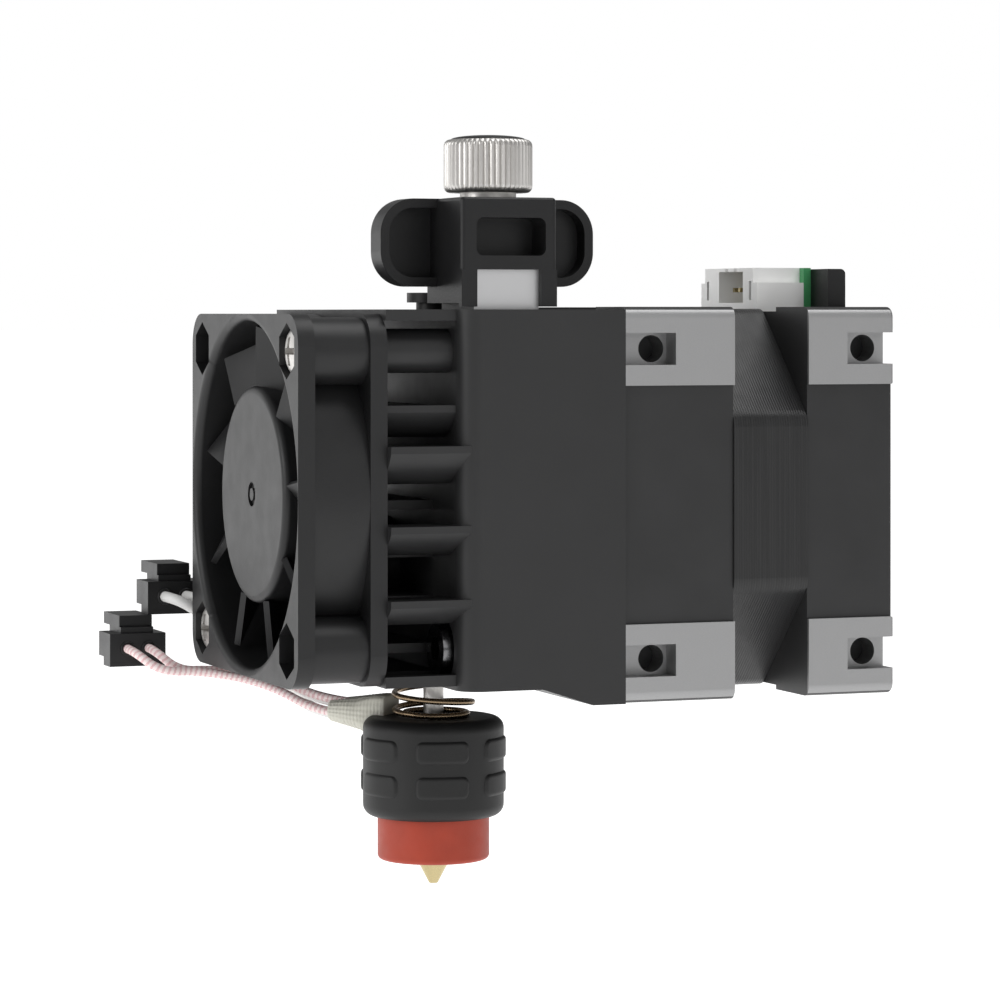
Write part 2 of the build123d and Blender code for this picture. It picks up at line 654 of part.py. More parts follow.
with BuildPart(HUB) as wheel:
    wheel_plane = across(WHEEL_START, DRIVE_Y, DRIVE_Z)
    wheel_outline = gear_sketch(wheel_plane, WHEEL_TEETH, REDUCTION_MODULE, -0.5, WHEEL_PHASE)
    extrude(wheel_outline.sketch, amount=WHEEL_WIDTH)
    with BuildSketch(wheel_plane):
        Circle(SHAFT_R)
        with PolarLocations(4.1, 5):
            Circle(1.1)
    extrude(amount=WHEEL_WIDTH, mode=Mode.SUBTRACT)
save(wheel, "reduction_gear")

GEAR_START, GEAR_END = 20.9, 26.0
HOB_END = 23.8
HOB_R = 4.0
FILAMENT_GEAR_PLAY = 0.22


def filament_gear(y, first_tooth, bore_r):
    """Add a hobbed gear, a grooved drum beside a row of teeth, to the open part."""
    plane = across(HOB_END, y, DRIVE_Z)
    outline = gear_sketch(plane, GEAR_TEETH, GEAR_MODULE, 0.0, first_tooth, FILAMENT_GEAR_PLAY)
    extrude(outline.sketch, amount=GEAR_END - HOB_END)
    with BuildSketch(across(GEAR_START, y, DRIVE_Z)) as drum:
        Circle(HOB_R)
    extrude(drum.sketch, amount=HOB_END - GEAR_START)
    with BuildSketch(beside(y, FILAMENT_X, DRIVE_Z + HOB_R + 0.35)) as groove:
        Circle(0.95)
    revolve(groove.sketch, axis=Axis(place(0, y, DRIVE_Z), (1, 0, 0)), mode=Mode.SUBTRACT)
    with BuildSketch(across(GEAR_START, y, DRIVE_Z)) as bore:
        Circle(bore_r)
    extrude(bore.sketch, amount=GEAR_END - GEAR_START, mode=Mode.SUBTRACT)


IDLER_PIN_R = 1.5
with BuildPart(HUB) as drive_gear:
    filament_gear(DRIVE_Y, 180, SHAFT_R)
save(drive_gear, "drive_gear")

with BuildPart(HUB) as idler_gear:
    filament_gear(-DRIVE_Y, 180 / GEAR_TEETH, IDLER_PIN_R + RUNNING)
save(idler_gear, "idler_gear")

with BuildPart(HUB) as drive_shaft:
    with BuildSketch(across(ROOM_START - BEARING_W, DRIVE_Y, DRIVE_Z)):
        Circle(SHAFT_R)
    extrude(amount=WHEEL_START + WHEEL_WIDTH - ROOM_START + BEARING_W)
save(drive_shaft, "drive_shaft")

with BuildPart(HUB) as drive_bearings:
    for seat_x in (ROOM_START - BEARING_W, WHEEL_ROOM_X - BEARING_W):
        with BuildSketch(across(seat_x, DRIVE_Y, DRIVE_Z)):
            Circle(BEARING_R)
            Circle(SHAFT_R + RUNNING, mode=Mode.SUBTRACT)
        extrude(amount=BEARING_W)
save(drive_bearings, "drive_bearings")

# ---------------------------------------------------------------- tension arm and lever
ARM_START, ARM_END = 20.0, 27.4
ARM_FRONT = -19.7
ARM_BACK = -9.4
HEAD_BOTTOM, HEAD_TOP = 22.0, 23.8
TONGUE_TOP = 25.6
HEAD_WIDTH = 10.8
SPRING_BORE_R = 2.2
PLUNGER_FLOOR = 17.3
PLUNGER_R = 1.2
LEVER_WIDTH = 11.0
LEVER_FRONT = -20.6
STRAP_BOTTOM = 21.6
LEVER_PIN_Y, LEVER_PIN_Z = -17.9, 24.7
LEVER_PIN_R = 0.7
ARM_MID = (ARM_START + ARM_END) / 2

with BuildPart(HUB) as arm:
    with BuildSketch(across(ARM_START)) as arm_outline:
        with BuildLine():
            idler_low = (-DRIVE_Y, DRIVE_Z - 3.0)
            Polyline((-DRIVE_Y + 3.0, DRIVE_Z), (-DRIVE_Y + 3.0, DRIVE_Z + 1.5), (-9.8, 3.5), (-15.2, 11.5),
                     (-15.2, 16.5), (ARM_BACK, 16.5), (ARM_BACK, TONGUE_TOP), (ARM_FRONT, TONGUE_TOP),
                     (ARM_FRONT, 8.0), (-18.0, 1.5), (-7.0, DRIVE_Z - 2.6), idler_low)
            RadiusArc(idler_low, (-DRIVE_Y + 3.0, DRIVE_Z), -3.0)
        make_face()
        with Locations((PIVOT_Y, PIVOT_Z)):
            Circle(PIN_R + RUNNING, mode=Mode.SUBTRACT)
        with Locations((-DRIVE_Y, DRIVE_Z)):
            Circle(IDLER_PIN_R, mode=Mode.SUBTRACT)
    extrude(amount=ARM_END - ARM_START)
    # the head above the body, wider than the arm below it
    with BuildSketch(level(HEAD_BOTTOM, LEVER_X, (ARM_FRONT + ARM_BACK) / 2)):
        Rectangle(HEAD_WIDTH, ARM_BACK - ARM_FRONT)
    extrude(amount=HEAD_TOP - HEAD_BOTTOM)
    # the fork around the idler gear
    with BuildSketch(across(GEAR_START - 0.2)):
        with Locations((-DRIVE_Y, DRIVE_Z)):
            Circle(5.2)
    extrude(amount=GEAR_END - GEAR_START + 0.4, mode=Mode.SUBTRACT)
    # the bore of the spring, and the smaller one of the plunger below it
    with BuildSketch(level(PLUNGER_FLOOR, LEVER_X, THUMB_Y)):
        Circle(SPRING_BORE_R)
    extrude(amount=TONGUE_TOP - PLUNGER_FLOOR, mode=Mode.SUBTRACT)
    with BuildSketch(level(LEDGE_Z, LEVER_X, THUMB_Y)):
        Circle(PLUNGER_R + 0.25)
    extrude(amount=PLUNGER_FLOOR - LEDGE_Z, mode=Mode.SUBTRACT)
    with BuildSketch(across(18.0, LEVER_PIN_Y, LEVER_PIN_Z)):
        Circle(LEVER_PIN_R)
    extrude(amount=12.0, mode=Mode.SUBTRACT)
save(arm, "idler_arm")

with BuildPart(HUB) as pivot_pin:
    with BuildSketch(across(PIN_START, PIVOT_Y, PIVOT_Z)):
        Circle(PIN_R)
    extrude(amount=PIN_END - PIN_START)
save(pivot_pin, "arm_pivot_pin")

with BuildPart(HUB) as idler_pin:
    with BuildSketch(across(ARM_START, -DRIVE_Y, DRIVE_Z)):
        Circle(IDLER_PIN_R)
    extrude(amount=ARM_END - ARM_START)
save(idler_pin, "idler_pin")

WING_BOTTOM, WING_TOP = HEAD_TOP, LEVER_TOP
WING_WIDTH = 24.9
WING_X = LEVER_X + 0.45
WING_FRONT = -12.8
WING_THICKNESS = 3.3
WING_RECESS = 2.2
WINDOW_BOTTOM, WINDOW_TOP = 27.1, 31.2
WINDOW_DEPTH = 4.0
INSERT_BOTTOM, INSERT_TOP = 28.0, 31.0
with BuildPart(HUB) as lever:
    # the upright body over the arm's head
    with BuildSketch(level(HEAD_TOP, LEVER_X, (LEVER_FRONT + ARM_BACK) / 2)):
        Rectangle(LEVER_WIDTH, ARM_BACK - LEVER_FRONT)
    extrude(amount=LEVER_TOP - HEAD_TOP)
    fillet(lever.edges().filter_by(Axis.Z).group_by(Axis.Y)[0], 0.5)
    fillet(lever.faces().sort_by(Axis.Z)[-1].edges(), 0.4)
    # straps in front of the arm's head
    with BuildSketch(beside(ARM_FRONT, LEVER_X, (STRAP_BOTTOM + TONGUE_TOP) / 2)):
        Rectangle(LEVER_WIDTH, TONGUE_TOP - STRAP_BOTTOM)
    extrude(amount=ARM_FRONT - LEVER_FRONT)
    # the two finger wings, each with a raised rim
    with BuildSketch(beside(WING_FRONT + WING_THICKNESS, WING_X, (WING_TOP + WING_BOTTOM) / 2)):
        RectangleRounded(WING_WIDTH, WING_TOP - WING_BOTTOM, 3.8)
    extrude(amount=WING_THICKNESS)
    with BuildSketch(beside(WING_FRONT + WING_RECESS, WING_X, (WING_TOP + WING_BOTTOM) / 2)):
        RectangleRounded(WING_WIDTH - 2.0, WING_TOP - WING_BOTTOM - 2.0, 2.8)
        with Locations((LEVER_X - WING_X, 0)):
            Rectangle(LEVER_WIDTH, WING_TOP - WING_BOTTOM, mode=Mode.SUBTRACT)
    extrude(amount=WING_RECESS, mode=Mode.SUBTRACT)
    # the room for the arm's tongue, open to the front
    with BuildSketch(level(STRAP_BOTTOM - 1, ARM_MID, (LEVER_FRONT + ARM_BACK) / 2)):
        Rectangle(ARM_END - ARM_START, ARM_BACK - LEVER_FRONT + 6)
    extrude(amount=TONGUE_TOP - STRAP_BOTTOM + 1, mode=Mode.SUBTRACT)
    # the blind window in the front
    with BuildSketch(beside(LEVER_FRONT + WINDOW_DEPTH, ARM_MID + 0.2, (WINDOW_BOTTOM + WINDOW_TOP) / 2)):
        RectangleRounded(8.0, WINDOW_TOP - WINDOW_BOTTOM, 0.8)
    extrude(amount=WINDOW_DEPTH, mode=Mode.SUBTRACT)
    # bores of the spring, the threaded insert and the screw
    with BuildSketch(level(HEAD_TOP, LEVER_X, THUMB_Y)):
        Circle(SPRING_BORE_R)
    extrude(amount=INSERT_TOP - HEAD_TOP, mode=Mode.SUBTRACT)
    with BuildSketch(level(INSERT_TOP, LEVER_X, THUMB_Y)):
        Circle(SCREW_CLEAR_R)
    extrude(amount=LEVER_TOP - INSERT_TOP, mode=Mode.SUBTRACT)
    with BuildSketch(across(LEVER_X - LEVER_WIDTH / 2 + 0.6, LEVER_PIN_Y, LEVER_PIN_Z)):
        Circle(LEVER_PIN_R)
    extrude(amount=LEVER_WIDTH - 1.2, mode=Mode.SUBTRACT)
save(lever, "tension_lever")

with BuildPart(HUB) as lever_pin:
    with BuildSketch(across(LEVER_X - LEVER_WIDTH / 2 + 0.6, LEVER_PIN_Y, LEVER_PIN_Z)):
        Circle(LEVER_PIN_R)
    extrude(amount=LEVER_WIDTH - 1.2)
save(lever_pin, "lever_pin")

with BuildPart(HUB) as insert:
    with BuildSketch(level(INSERT_BOTTOM, LEVER_X, THUMB_Y)):
        Circle(SPRING_BORE_R)
        Circle(SCREW_R + RUNNING, mode=Mode.SUBTRACT)
    extrude(amount=INSERT_TOP - INSERT_BOTTOM)
save(insert, "lever_insert")

KNOB_R = 4.87
KNOB_BOTTOM, KNOB_TOP = 34.05, 39.85
KNOB_GROOVES = 48
SEAT_BOTTOM, SEAT_TOP = 26.3, 26.9
with BuildPart(HUB) as thumb_screw:
    with BuildSketch(level(SEAT_TOP, LEVER_X, THUMB_Y)):
        Circle(SCREW_R)
    extrude(amount=KNOB_BOTTOM - SEAT_TOP)
    with BuildSketch(level(LEVER_TOP, LEVER_X, THUMB_Y)):
        Circle(3.07)
    extrude(amount=KNOB_BOTTOM - LEVER_TOP)
    with BuildSketch(level(KNOB_BOTTOM, LEVER_X, THUMB_Y)):
        Circle(KNOB_R)
    extrude(amount=KNOB_TOP - KNOB_BOTTOM)
    chamfer(thumb_screw.edges().filter_by(GeomType.CIRCLE).group_by(SortBy.RADIUS)[-1], 0.6)
    with BuildSketch(level(KNOB_BOTTOM, LEVER_X, THUMB_Y)):
        with PolarLocations(KNOB_R + 0.05, KNOB_GROOVES):
            Circle(0.26)
    extrude(amount=KNOB_TOP - KNOB_BOTTOM, mode=Mode.SUBTRACT)
save(thumb_screw, "thumb_screw")

with BuildPart(HUB) as knob_cap:
    with BuildSketch(level(KNOB_TOP, LEVER_X, THUMB_Y)):
        Circle(4.1)
    extrude(amount=0.5)
    fillet(knob_cap.faces().sort_by(Axis.Z)[-1].edges(), 0.35)
save(knob_cap, "thumb_screw_cap")

with BuildPart(HUB) as spring_seat:
    with BuildSketch(level(SEAT_BOTTOM, LEVER_X, THUMB_Y)):
        Circle(SPRING_BORE_R - 0.2)
    extrude(amount=SEAT_TOP - SEAT_BOTTOM)
save(spring_seat, "spring_seat")

PLUNGER_TOP = 18.1
with BuildPart(HUB) as plunger:
    with BuildSketch(level(LEDGE_Z, LEVER_X, THUMB_Y)):
        Circle(PLUNGER_R)
    extrude(amount=PLUNGER_TOP - LEDGE_Z)
    with BuildSketch(level(PLUNGER_FLOOR, LEVER_X, THUMB_Y)):
        Circle(SPRING_BORE_R - 0.3)
    extrude(amount=PLUNGER_TOP - PLUNGER_FLOOR)
save(plunger, "tension_plunger")

TENSION_WIRE_R = 0.3
TENSION_COIL_R = 1.6
with BuildPart(HUB) as tension_spring:
    coil_height = SEAT_BOTTOM - PLUNGER_TOP - 2 * TENSION_WIRE_R
    coil_origin = place(LEVER_X, THUMB_Y, PLUNGER_TOP + TENSION_WIRE_R)
    with BuildLine(Plane(origin=coil_origin)) as coil_path:
        Helix(coil_height / 8, coil_height, TENSION_COIL_R)
    with BuildSketch(Plane(origin=coil_path.line @ 0, z_dir=coil_path.line % 0)):
        Circle(TENSION_WIRE_R)
    sweep(is_frenet=True)
save(tension_spring, "tension_spring")

# ---------------------------------------------------------------- hot side
THREAD_BOTTOM = -19.9
BREAK_R = 1.15
NOZZLE_R = 3.0
NOZZLE_TOP = -27.0
FLANGE_TOP, FLANGE_BOTTOM = -38.9, -40.2
FLANGE_R = 3.6
CORE_R = 5.6
CORE_TOP, CORE_BOTTOM = -26.6, -39.65
SENSOR_Y = 4.35

with BuildPart(HUB) as thread_collar:
    with BuildSketch(level(THREAD_BOTTOM, FILAMENT_X)):
        Circle(THREAD_R - 0.02)
        Circle(BREAK_R, mode=Mode.SUBTRACT)
    extrude(amount=THREAD_TOP - THREAD_BOTTOM)
save(thread_collar, "nozzle_thread")

with BuildPart(HUB) as heat_break:
    with BuildSketch(level(NOZZLE_TOP - 2.0, FILAMENT_X)):
        Circle(BREAK_R)
        Circle(0.95, mode=Mode.SUBTRACT)
    extrude(amount=THREAD_TOP - NOZZLE_TOP + 2.0)
save(heat_break, "heat_break")

with BuildPart(HUB) as nozzle:
    with BuildSketch(beside(0, FILAMENT_X)):
        Polygon((0.95, NOZZLE_TOP - 2.0), (BREAK_R, NOZZLE_TOP - 2.0), (BREAK_R, NOZZLE_TOP),
                (NOZZLE_R, NOZZLE_TOP), (NOZZLE_R, FLANGE_TOP), (FLANGE_R, FLANGE_TOP),
                (FLANGE_R, FLANGE_BOTTOM), (2.15, FLANGE_BOTTOM), (0.5, TIP_Z), (0.2, TIP_Z),
                (0.2, TIP_Z + 1.0), (0.95, TIP_Z + 1.6), align=None)
    revolve(axis=Axis(place(FILAMENT_X, 0, 0), (0, 0, 1)))
save(nozzle, "nozzle")

with BuildPart(HUB) as core:
    with BuildSketch(level(CORE_BOTTOM, FILAMENT_X)):
        Circle(CORE_R)
    extrude(amount=CORE_TOP - CORE_BOTTOM)
    with BuildSketch(level(-28.5, FILAMENT_X)):
        Circle(CAP_R - 1.0)
    extrude(amount=1.0)
    with BuildSketch(level(CORE_BOTTOM, FILAMENT_X)):
        Circle(NOZZLE_R + RUNNING)
    extrude(amount=CORE_TOP - CORE_BOTTOM, mode=Mode.SUBTRACT)
    with BuildSketch(level(CORE_BOTTOM, FILAMENT_X)):
        Circle(FLANGE_R + 0.1)
    extrude(amount=FLANGE_TOP + RUNNING - CORE_BOTTOM, mode=Mode.SUBTRACT)
    with BuildSketch(level(-38.0, FILAMENT_X, SENSOR_Y)):
        Circle(0.8)
    extrude(amount=CORE_TOP + 38.0, mode=Mode.SUBTRACT)
save(core, "heater_core")

with BuildPart(HUB) as sensor:
    with BuildSketch(level(-38.0, FILAMENT_X, SENSOR_Y)):
        Circle(0.75)
    extrude(amount=5.0)
save(sensor, "temperature_sensor")


def sleeve_plane(r):
    """A plane facing along the sleeve, r away from the filament's axis."""
    turn = radians(SLEEVE_ANGLE)
    origin = place(FILAMENT_X + r * cos(turn), r * sin(turn), SLEEVE_Z)
    return Plane(origin=origin, x_dir=(sin(turn), -cos(turn), 0), z_dir=(cos(turn), sin(turn), 0))


with BuildPart(HUB) as cap:
    with BuildSketch(level(CAP_BOTTOM, FILAMENT_X)):
        Circle(CAP_R)
    extrude(amount=CAP_TOP - CAP_BOTTOM)
    fillet(cap.faces().filter_by(Axis.Z).edges(), 1.3)
    with BuildSketch(level(CAP_BOTTOM, FILAMENT_X)):
        Circle(CAP_R - 0.95)
    extrude(amount=CAP_TOP - CAP_BOTTOM - 1.2, mode=Mode.SUBTRACT)
    with BuildSketch(level(CAP_TOP - 1.2, FILAMENT_X)):
        Circle(3.0)
    extrude(amount=1.2, mode=Mode.SUBTRACT)
    with BuildSketch(sleeve_plane(SLEEVE_START - 1.1)):
        Rectangle(2 * SLEEVE_R + 0.4, 2 * SLEEVE_R + 0.4)
    extrude(amount=4.0, mode=Mode.SUBTRACT)
save(cap, "heater_cap")

LEAD_BLOCK_TOP = -22.5
with BuildPart(HUB) as lead_block:
    with BuildSketch(sleeve_plane(SLEEVE_START - 1.0)):
        Rectangle(3.4, 2 * (LEAD_BLOCK_TOP - SLEEVE_Z))
    extrude(amount=1.0)
save(lead_block, "lead_block")

with BuildPart(HUB) as sock:
    with BuildSketch(level(SOCK_BOTTOM, FILAMENT_X)):
        Circle(SOCK_R)
    extrude(amount=-33.5 - SOCK_BOTTOM)
    fillet(sock.faces().sort_by(Axis.Z)[0].edges(), 0.5)
    with BuildSketch(level(CORE_BOTTOM, FILAMENT_X)):
        Circle(CORE_R)
    extrude(amount=-33.5 - CORE_BOTTOM, mode=Mode.SUBTRACT)
    with BuildSketch(level(SOCK_BOTTOM, FILAMENT_X)):
        Circle(FLANGE_R + 0.2)
    extrude(amount=1.0, mode=Mode.SUBTRACT)
save(sock, "silicone_sock")

SPRING_WIRE_R = 0.32
SPRING_TURNS = 3.25
SPRING_FOOT_R, SPRING_TOP_R, SPRING_BULGE = 3.6, 3.4, 1.45
SPRING_STEPS_PER_TURN = 12
SPRING_START_ANGLE = 200


def hot_spring_point(step, steps):
    """A point on the barrel-shaped spring, counted up from its foot."""
    share = step / steps
    turn = 2 * pi * SPRING_TURNS * share + radians(SPRING_START_ANGLE)
    r = SPRING_FOOT_R + (SPRING_TOP_R - SPRING_FOOT_R) * share + SPRING_BULGE * sin(pi * share)
    foot_z = CAP_TOP + SPRING_WIRE_R + 0.01
    top_z = BODY_BOTTOM - SPRING_WIRE_R - 0.01
    return place(FILAMENT_X + r * cos(turn), r * sin(turn), foot_z + (top_z - foot_z) * share)


SPRING_STEPS = round(SPRING_TURNS * SPRING_STEPS_PER_TURN)
with BuildPart(HUB) as hot_spring:
    with BuildLine() as coil:
        Spline(*[hot_spring_point(step, SPRING_STEPS) for step in range(SPRING_STEPS + 1)])
    with BuildSketch(Plane(origin=coil.line @ 0, z_dir=coil.line % 0)) as wire:
        Circle(SPRING_WIRE_R)
    sweep(wire.sketch, path=coil.line, is_frenet=True)
save(hot_spring, "hot_side_spring")

with BuildPart(HUB) as sleeve:
    with BuildSketch(sleeve_plane(SLEEVE_START)):
        Circle(SLEEVE_R)
        Circle(SLEEVE_BORE_R, mode=Mode.SUBTRACT)
    extrude(amount=SLEEVE_END - SLEEVE_START)
save(sleeve, "wire_sleeve")

# ---------------------------------------------------------------- plugs and wires
PLUG_WIDTH = 6.65
PLUG_HEIGHT = 3.8
PLUG_HOLE_PITCH = 2.54
SENSOR_PLUG = (-5.7, 23.0, -17.95)
HEATER_PLUG = (-0.9, 24.0, -12.1)


def plug(centre):
    """Add a two-way plug housing to the open part: wires enter its -Y face, at centre."""
    x, y, z = centre
    body_bottom = z - 2.05
    depth, upper_depth = 2.9, 5.0
    with BuildSketch(beside(y + depth, x, body_bottom + PLUG_HEIGHT / 2)) as body:
        Rectangle(PLUG_WIDTH, PLUG_HEIGHT)
    extrude(body.sketch, amount=depth)
    with BuildSketch(beside(y + upper_depth, x, body_bottom + PLUG_HEIGHT - 1.4)) as upper:
        Rectangle(PLUG_WIDTH, 2.8)
    extrude(upper.sketch, amount=upper_depth)
    latch_bottom = body_bottom + PLUG_HEIGHT + 0.65
    with BuildSketch(beside(y + 5.4, x, body_bottom + PLUG_HEIGHT + 0.3)) as neck:
        Rectangle(3.9, 0.8)
    extrude(neck.sketch, amount=5.0)
    with BuildSketch(beside(y + 8.0, x, latch_bottom + 0.68)) as latch:
        Rectangle(3.9, 1.36)
    extrude(latch.sketch, amount=7.0)


with BuildPart(HUB) as sensor_plug:
    plug(SENSOR_PLUG)
save(sensor_plug, "sensor_plug")

with BuildPart(HUB) as heater_plug:
    plug(HEATER_PLUG)
save(heater_plug, "heater_plug")


def in_sleeve(side_offset, up, r):
    """A point r away from the filament's axis along the sleeve, off its centre line."""
    turn = radians(SLEEVE_ANGLE)
    return (FILAMENT_X + r * cos(turn) + side_offset * sin(turn),
            r * sin(turn) - side_offset * cos(turn), SLEEVE_Z + up)


def plug_hole(centre, side, away=0.0):
    """The middle of one of a plug's two wire holes, or a point straight in front of it."""
    return (centre[0] + side * PLUG_HOLE_PITCH / 2, centre[1] - away, centre[2])


WIRE_EXIT_R = 13.3
WIRES = {
    "sensor_wire_a": (STRIPED_R, [
        in_sleeve(-1.0, -0.5, SLEEVE_START), in_sleeve(-1.0, -0.5, WIRE_EXIT_R), (7.2, 14.4, -21.6),
        (0.6, 17.9, -20.3), (-4.3, 18.2, -20.3), plug_hole(SENSOR_PLUG, -1, 2.6),
        plug_hole(SENSOR_PLUG, -1)]),
    "sensor_wire_b": (STRIPED_R, [
        in_sleeve(-0.5, 0.95, SLEEVE_START), in_sleeve(-0.5, 0.95, WIRE_EXIT_R), (7.9, 15.9, -20.6),
        (1.6, 19.0, -20.3), (-1.9, 19.2, -20.3), plug_hole(SENSOR_PLUG, 1, 2.3),
        plug_hole(SENSOR_PLUG, 1)]),
    "heater_wire_a": (WHITE_R, [
        in_sleeve(0.9, 0.45, SLEEVE_START), in_sleeve(0.9, 0.45, WIRE_EXIT_R), (8.6, 18.0, -21.2),
        (6.3, 21.9, -19.6), (4.4, 22.1, -15.8), (1.0, 21.3, -13.7), (-1.0, 21.2, -12.5),
        plug_hole(HEATER_PLUG, -1, 1.6),
        plug_hole(HEATER_PLUG, -1)]),
    "heater_wire_b": (WHITE_R, [
        in_sleeve(0.45, -0.85, SLEEVE_START), in_sleeve(0.45, -0.85, WIRE_EXIT_R), (10.7, 16.9, -23.3),
        (8.9, 22.2, -20.8), (6.9, 23.4, -16.8), (4.6, 21.8, -13.6), (1.7, 21.2, -12.3),
        plug_hole(HEATER_PLUG, 1, 1.6),
        plug_hole(HEATER_PLUG, 1)]),
}


def wire_radii(points):
    """One bend radius for each inner point, as large as its two runs allow."""
    radii = []
    for before, here, after in zip(points, points[1:], points[2:]):
        arriving = Vector(*here) - Vector(*before)
        leaving = Vector(*after) - Vector(*here)
        turn = radians(arriving.get_angle(leaving))
        radii.append(0.45 * min(arriving.length, leaving.length) / tan(turn / 2))
    return radii


for wire_name, (wire_r, wire_points) in WIRES.items():
    radii = wire_radii(wire_points)
    with BuildPart() as wire:
        with BuildLine() as wire_path:
            FilletPolyline(*[place(*point) for point in wire_points], radius=radii)
        with BuildSketch(Plane(origin=wire_path.line @ 0, z_dir=wire_path.line % 0)):
            Circle(wire_r)
        sweep()
    length = wire_path.wires()[0].length
    expected = pi * wire_r ** 2 * length
    print(wire_name, "length", round(length, 2), "volume ratio",
          round(wire.part.volume / expected, 4), "radii", [round(radius, 1) for radius in radii])
    save(wire, wire_name)
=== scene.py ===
import json
from math import cos, hypot, pi, radians, sin

import bmesh
import bpy
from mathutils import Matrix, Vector


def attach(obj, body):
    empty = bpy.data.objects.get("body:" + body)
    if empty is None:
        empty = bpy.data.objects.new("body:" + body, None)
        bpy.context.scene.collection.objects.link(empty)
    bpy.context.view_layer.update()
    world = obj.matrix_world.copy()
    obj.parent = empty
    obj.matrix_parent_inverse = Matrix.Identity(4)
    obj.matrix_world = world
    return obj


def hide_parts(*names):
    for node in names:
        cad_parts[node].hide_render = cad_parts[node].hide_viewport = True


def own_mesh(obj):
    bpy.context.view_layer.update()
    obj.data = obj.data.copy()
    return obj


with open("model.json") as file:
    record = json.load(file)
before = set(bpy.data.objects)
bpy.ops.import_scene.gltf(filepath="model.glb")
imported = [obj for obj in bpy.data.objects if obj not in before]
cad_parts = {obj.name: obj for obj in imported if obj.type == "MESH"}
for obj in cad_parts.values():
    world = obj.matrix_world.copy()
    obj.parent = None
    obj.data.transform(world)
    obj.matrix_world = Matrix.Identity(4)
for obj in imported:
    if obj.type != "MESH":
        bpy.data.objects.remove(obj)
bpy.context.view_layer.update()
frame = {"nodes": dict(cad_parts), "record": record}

NODES = frame["nodes"]
MM = 0.001
HUB = Vector((-53.85, -18.9, 0.0))
FILAMENT_X = 22.4


def at(x, y, z):
    """A point given in millimetres from the fan's front and the motor's axis, in the part's frame."""
    return (HUB + Vector((x, y, z))) * MM


# ---------------------------------------------------------------- camera and light
camera_data = bpy.data.cameras.new("photo_camera")
camera_data.sensor_width = 36.0
camera_data.lens = 133.16
camera_data.shift_y = -0.1863
camera_data.clip_start = 0.01
camera_data.clip_end = 50.0
camera = bpy.data.objects.new("photo_camera", camera_data)
camera.location = (-0.17299, -0.41139, 0.02084)
camera.rotation_euler = (radians(90), 0, radians(-20.862))
bpy.context.scene.collection.objects.link(camera)
bpy.context.scene.camera = camera

AIM = (-0.02, -0.02, 0.0)
AMBIENT = 0.33


def softbox(name, place, energy, size):
    """A square area light that faces the object."""
    data = bpy.data.lights.new(name, "AREA")
    data.energy = energy
    data.size = size
    lamp = bpy.data.objects.new(name, data)
    lamp.location = place
    lamp.rotation_euler = (Vector(AIM) - Vector(place)).to_track_quat("-Z", "Y").to_euler()
    bpy.context.scene.collection.objects.link(lamp)


softbox("left_softbox", (-0.60, -0.05, 0.20), 1.4, 0.35)
softbox("far_left_softbox", (-0.42, 0.62, 0.10), 0.7, 0.5)
softbox("front_softbox", (0.15, -0.80, 0.35), 0.8, 0.5)
softbox("top_softbox", (0.16, -0.12, 0.64), 2.5, 0.5)

# the background is full white where it is seen, and dimmer as a light
world = bpy.data.worlds.new("studio")
bpy.context.scene.world = world
world.use_nodes = True
backdrop = world.node_tree.nodes["Background"]
backdrop.inputs["Color"].default_value = (1, 1, 1, 1)
light_path = world.node_tree.nodes.new("ShaderNodeLightPath")
strength = world.node_tree.nodes.new("ShaderNodeMapRange")
strength.inputs["To Min"].default_value = AMBIENT
strength.inputs["To Max"].default_value = 1.0
world.node_tree.links.new(light_path.outputs["Is Camera Ray"], strength.inputs["Value"])
world.node_tree.links.new(strength.outputs["Result"], backdrop.inputs["Strength"])
bpy.context.scene.view_settings.view_transform = "Standard"


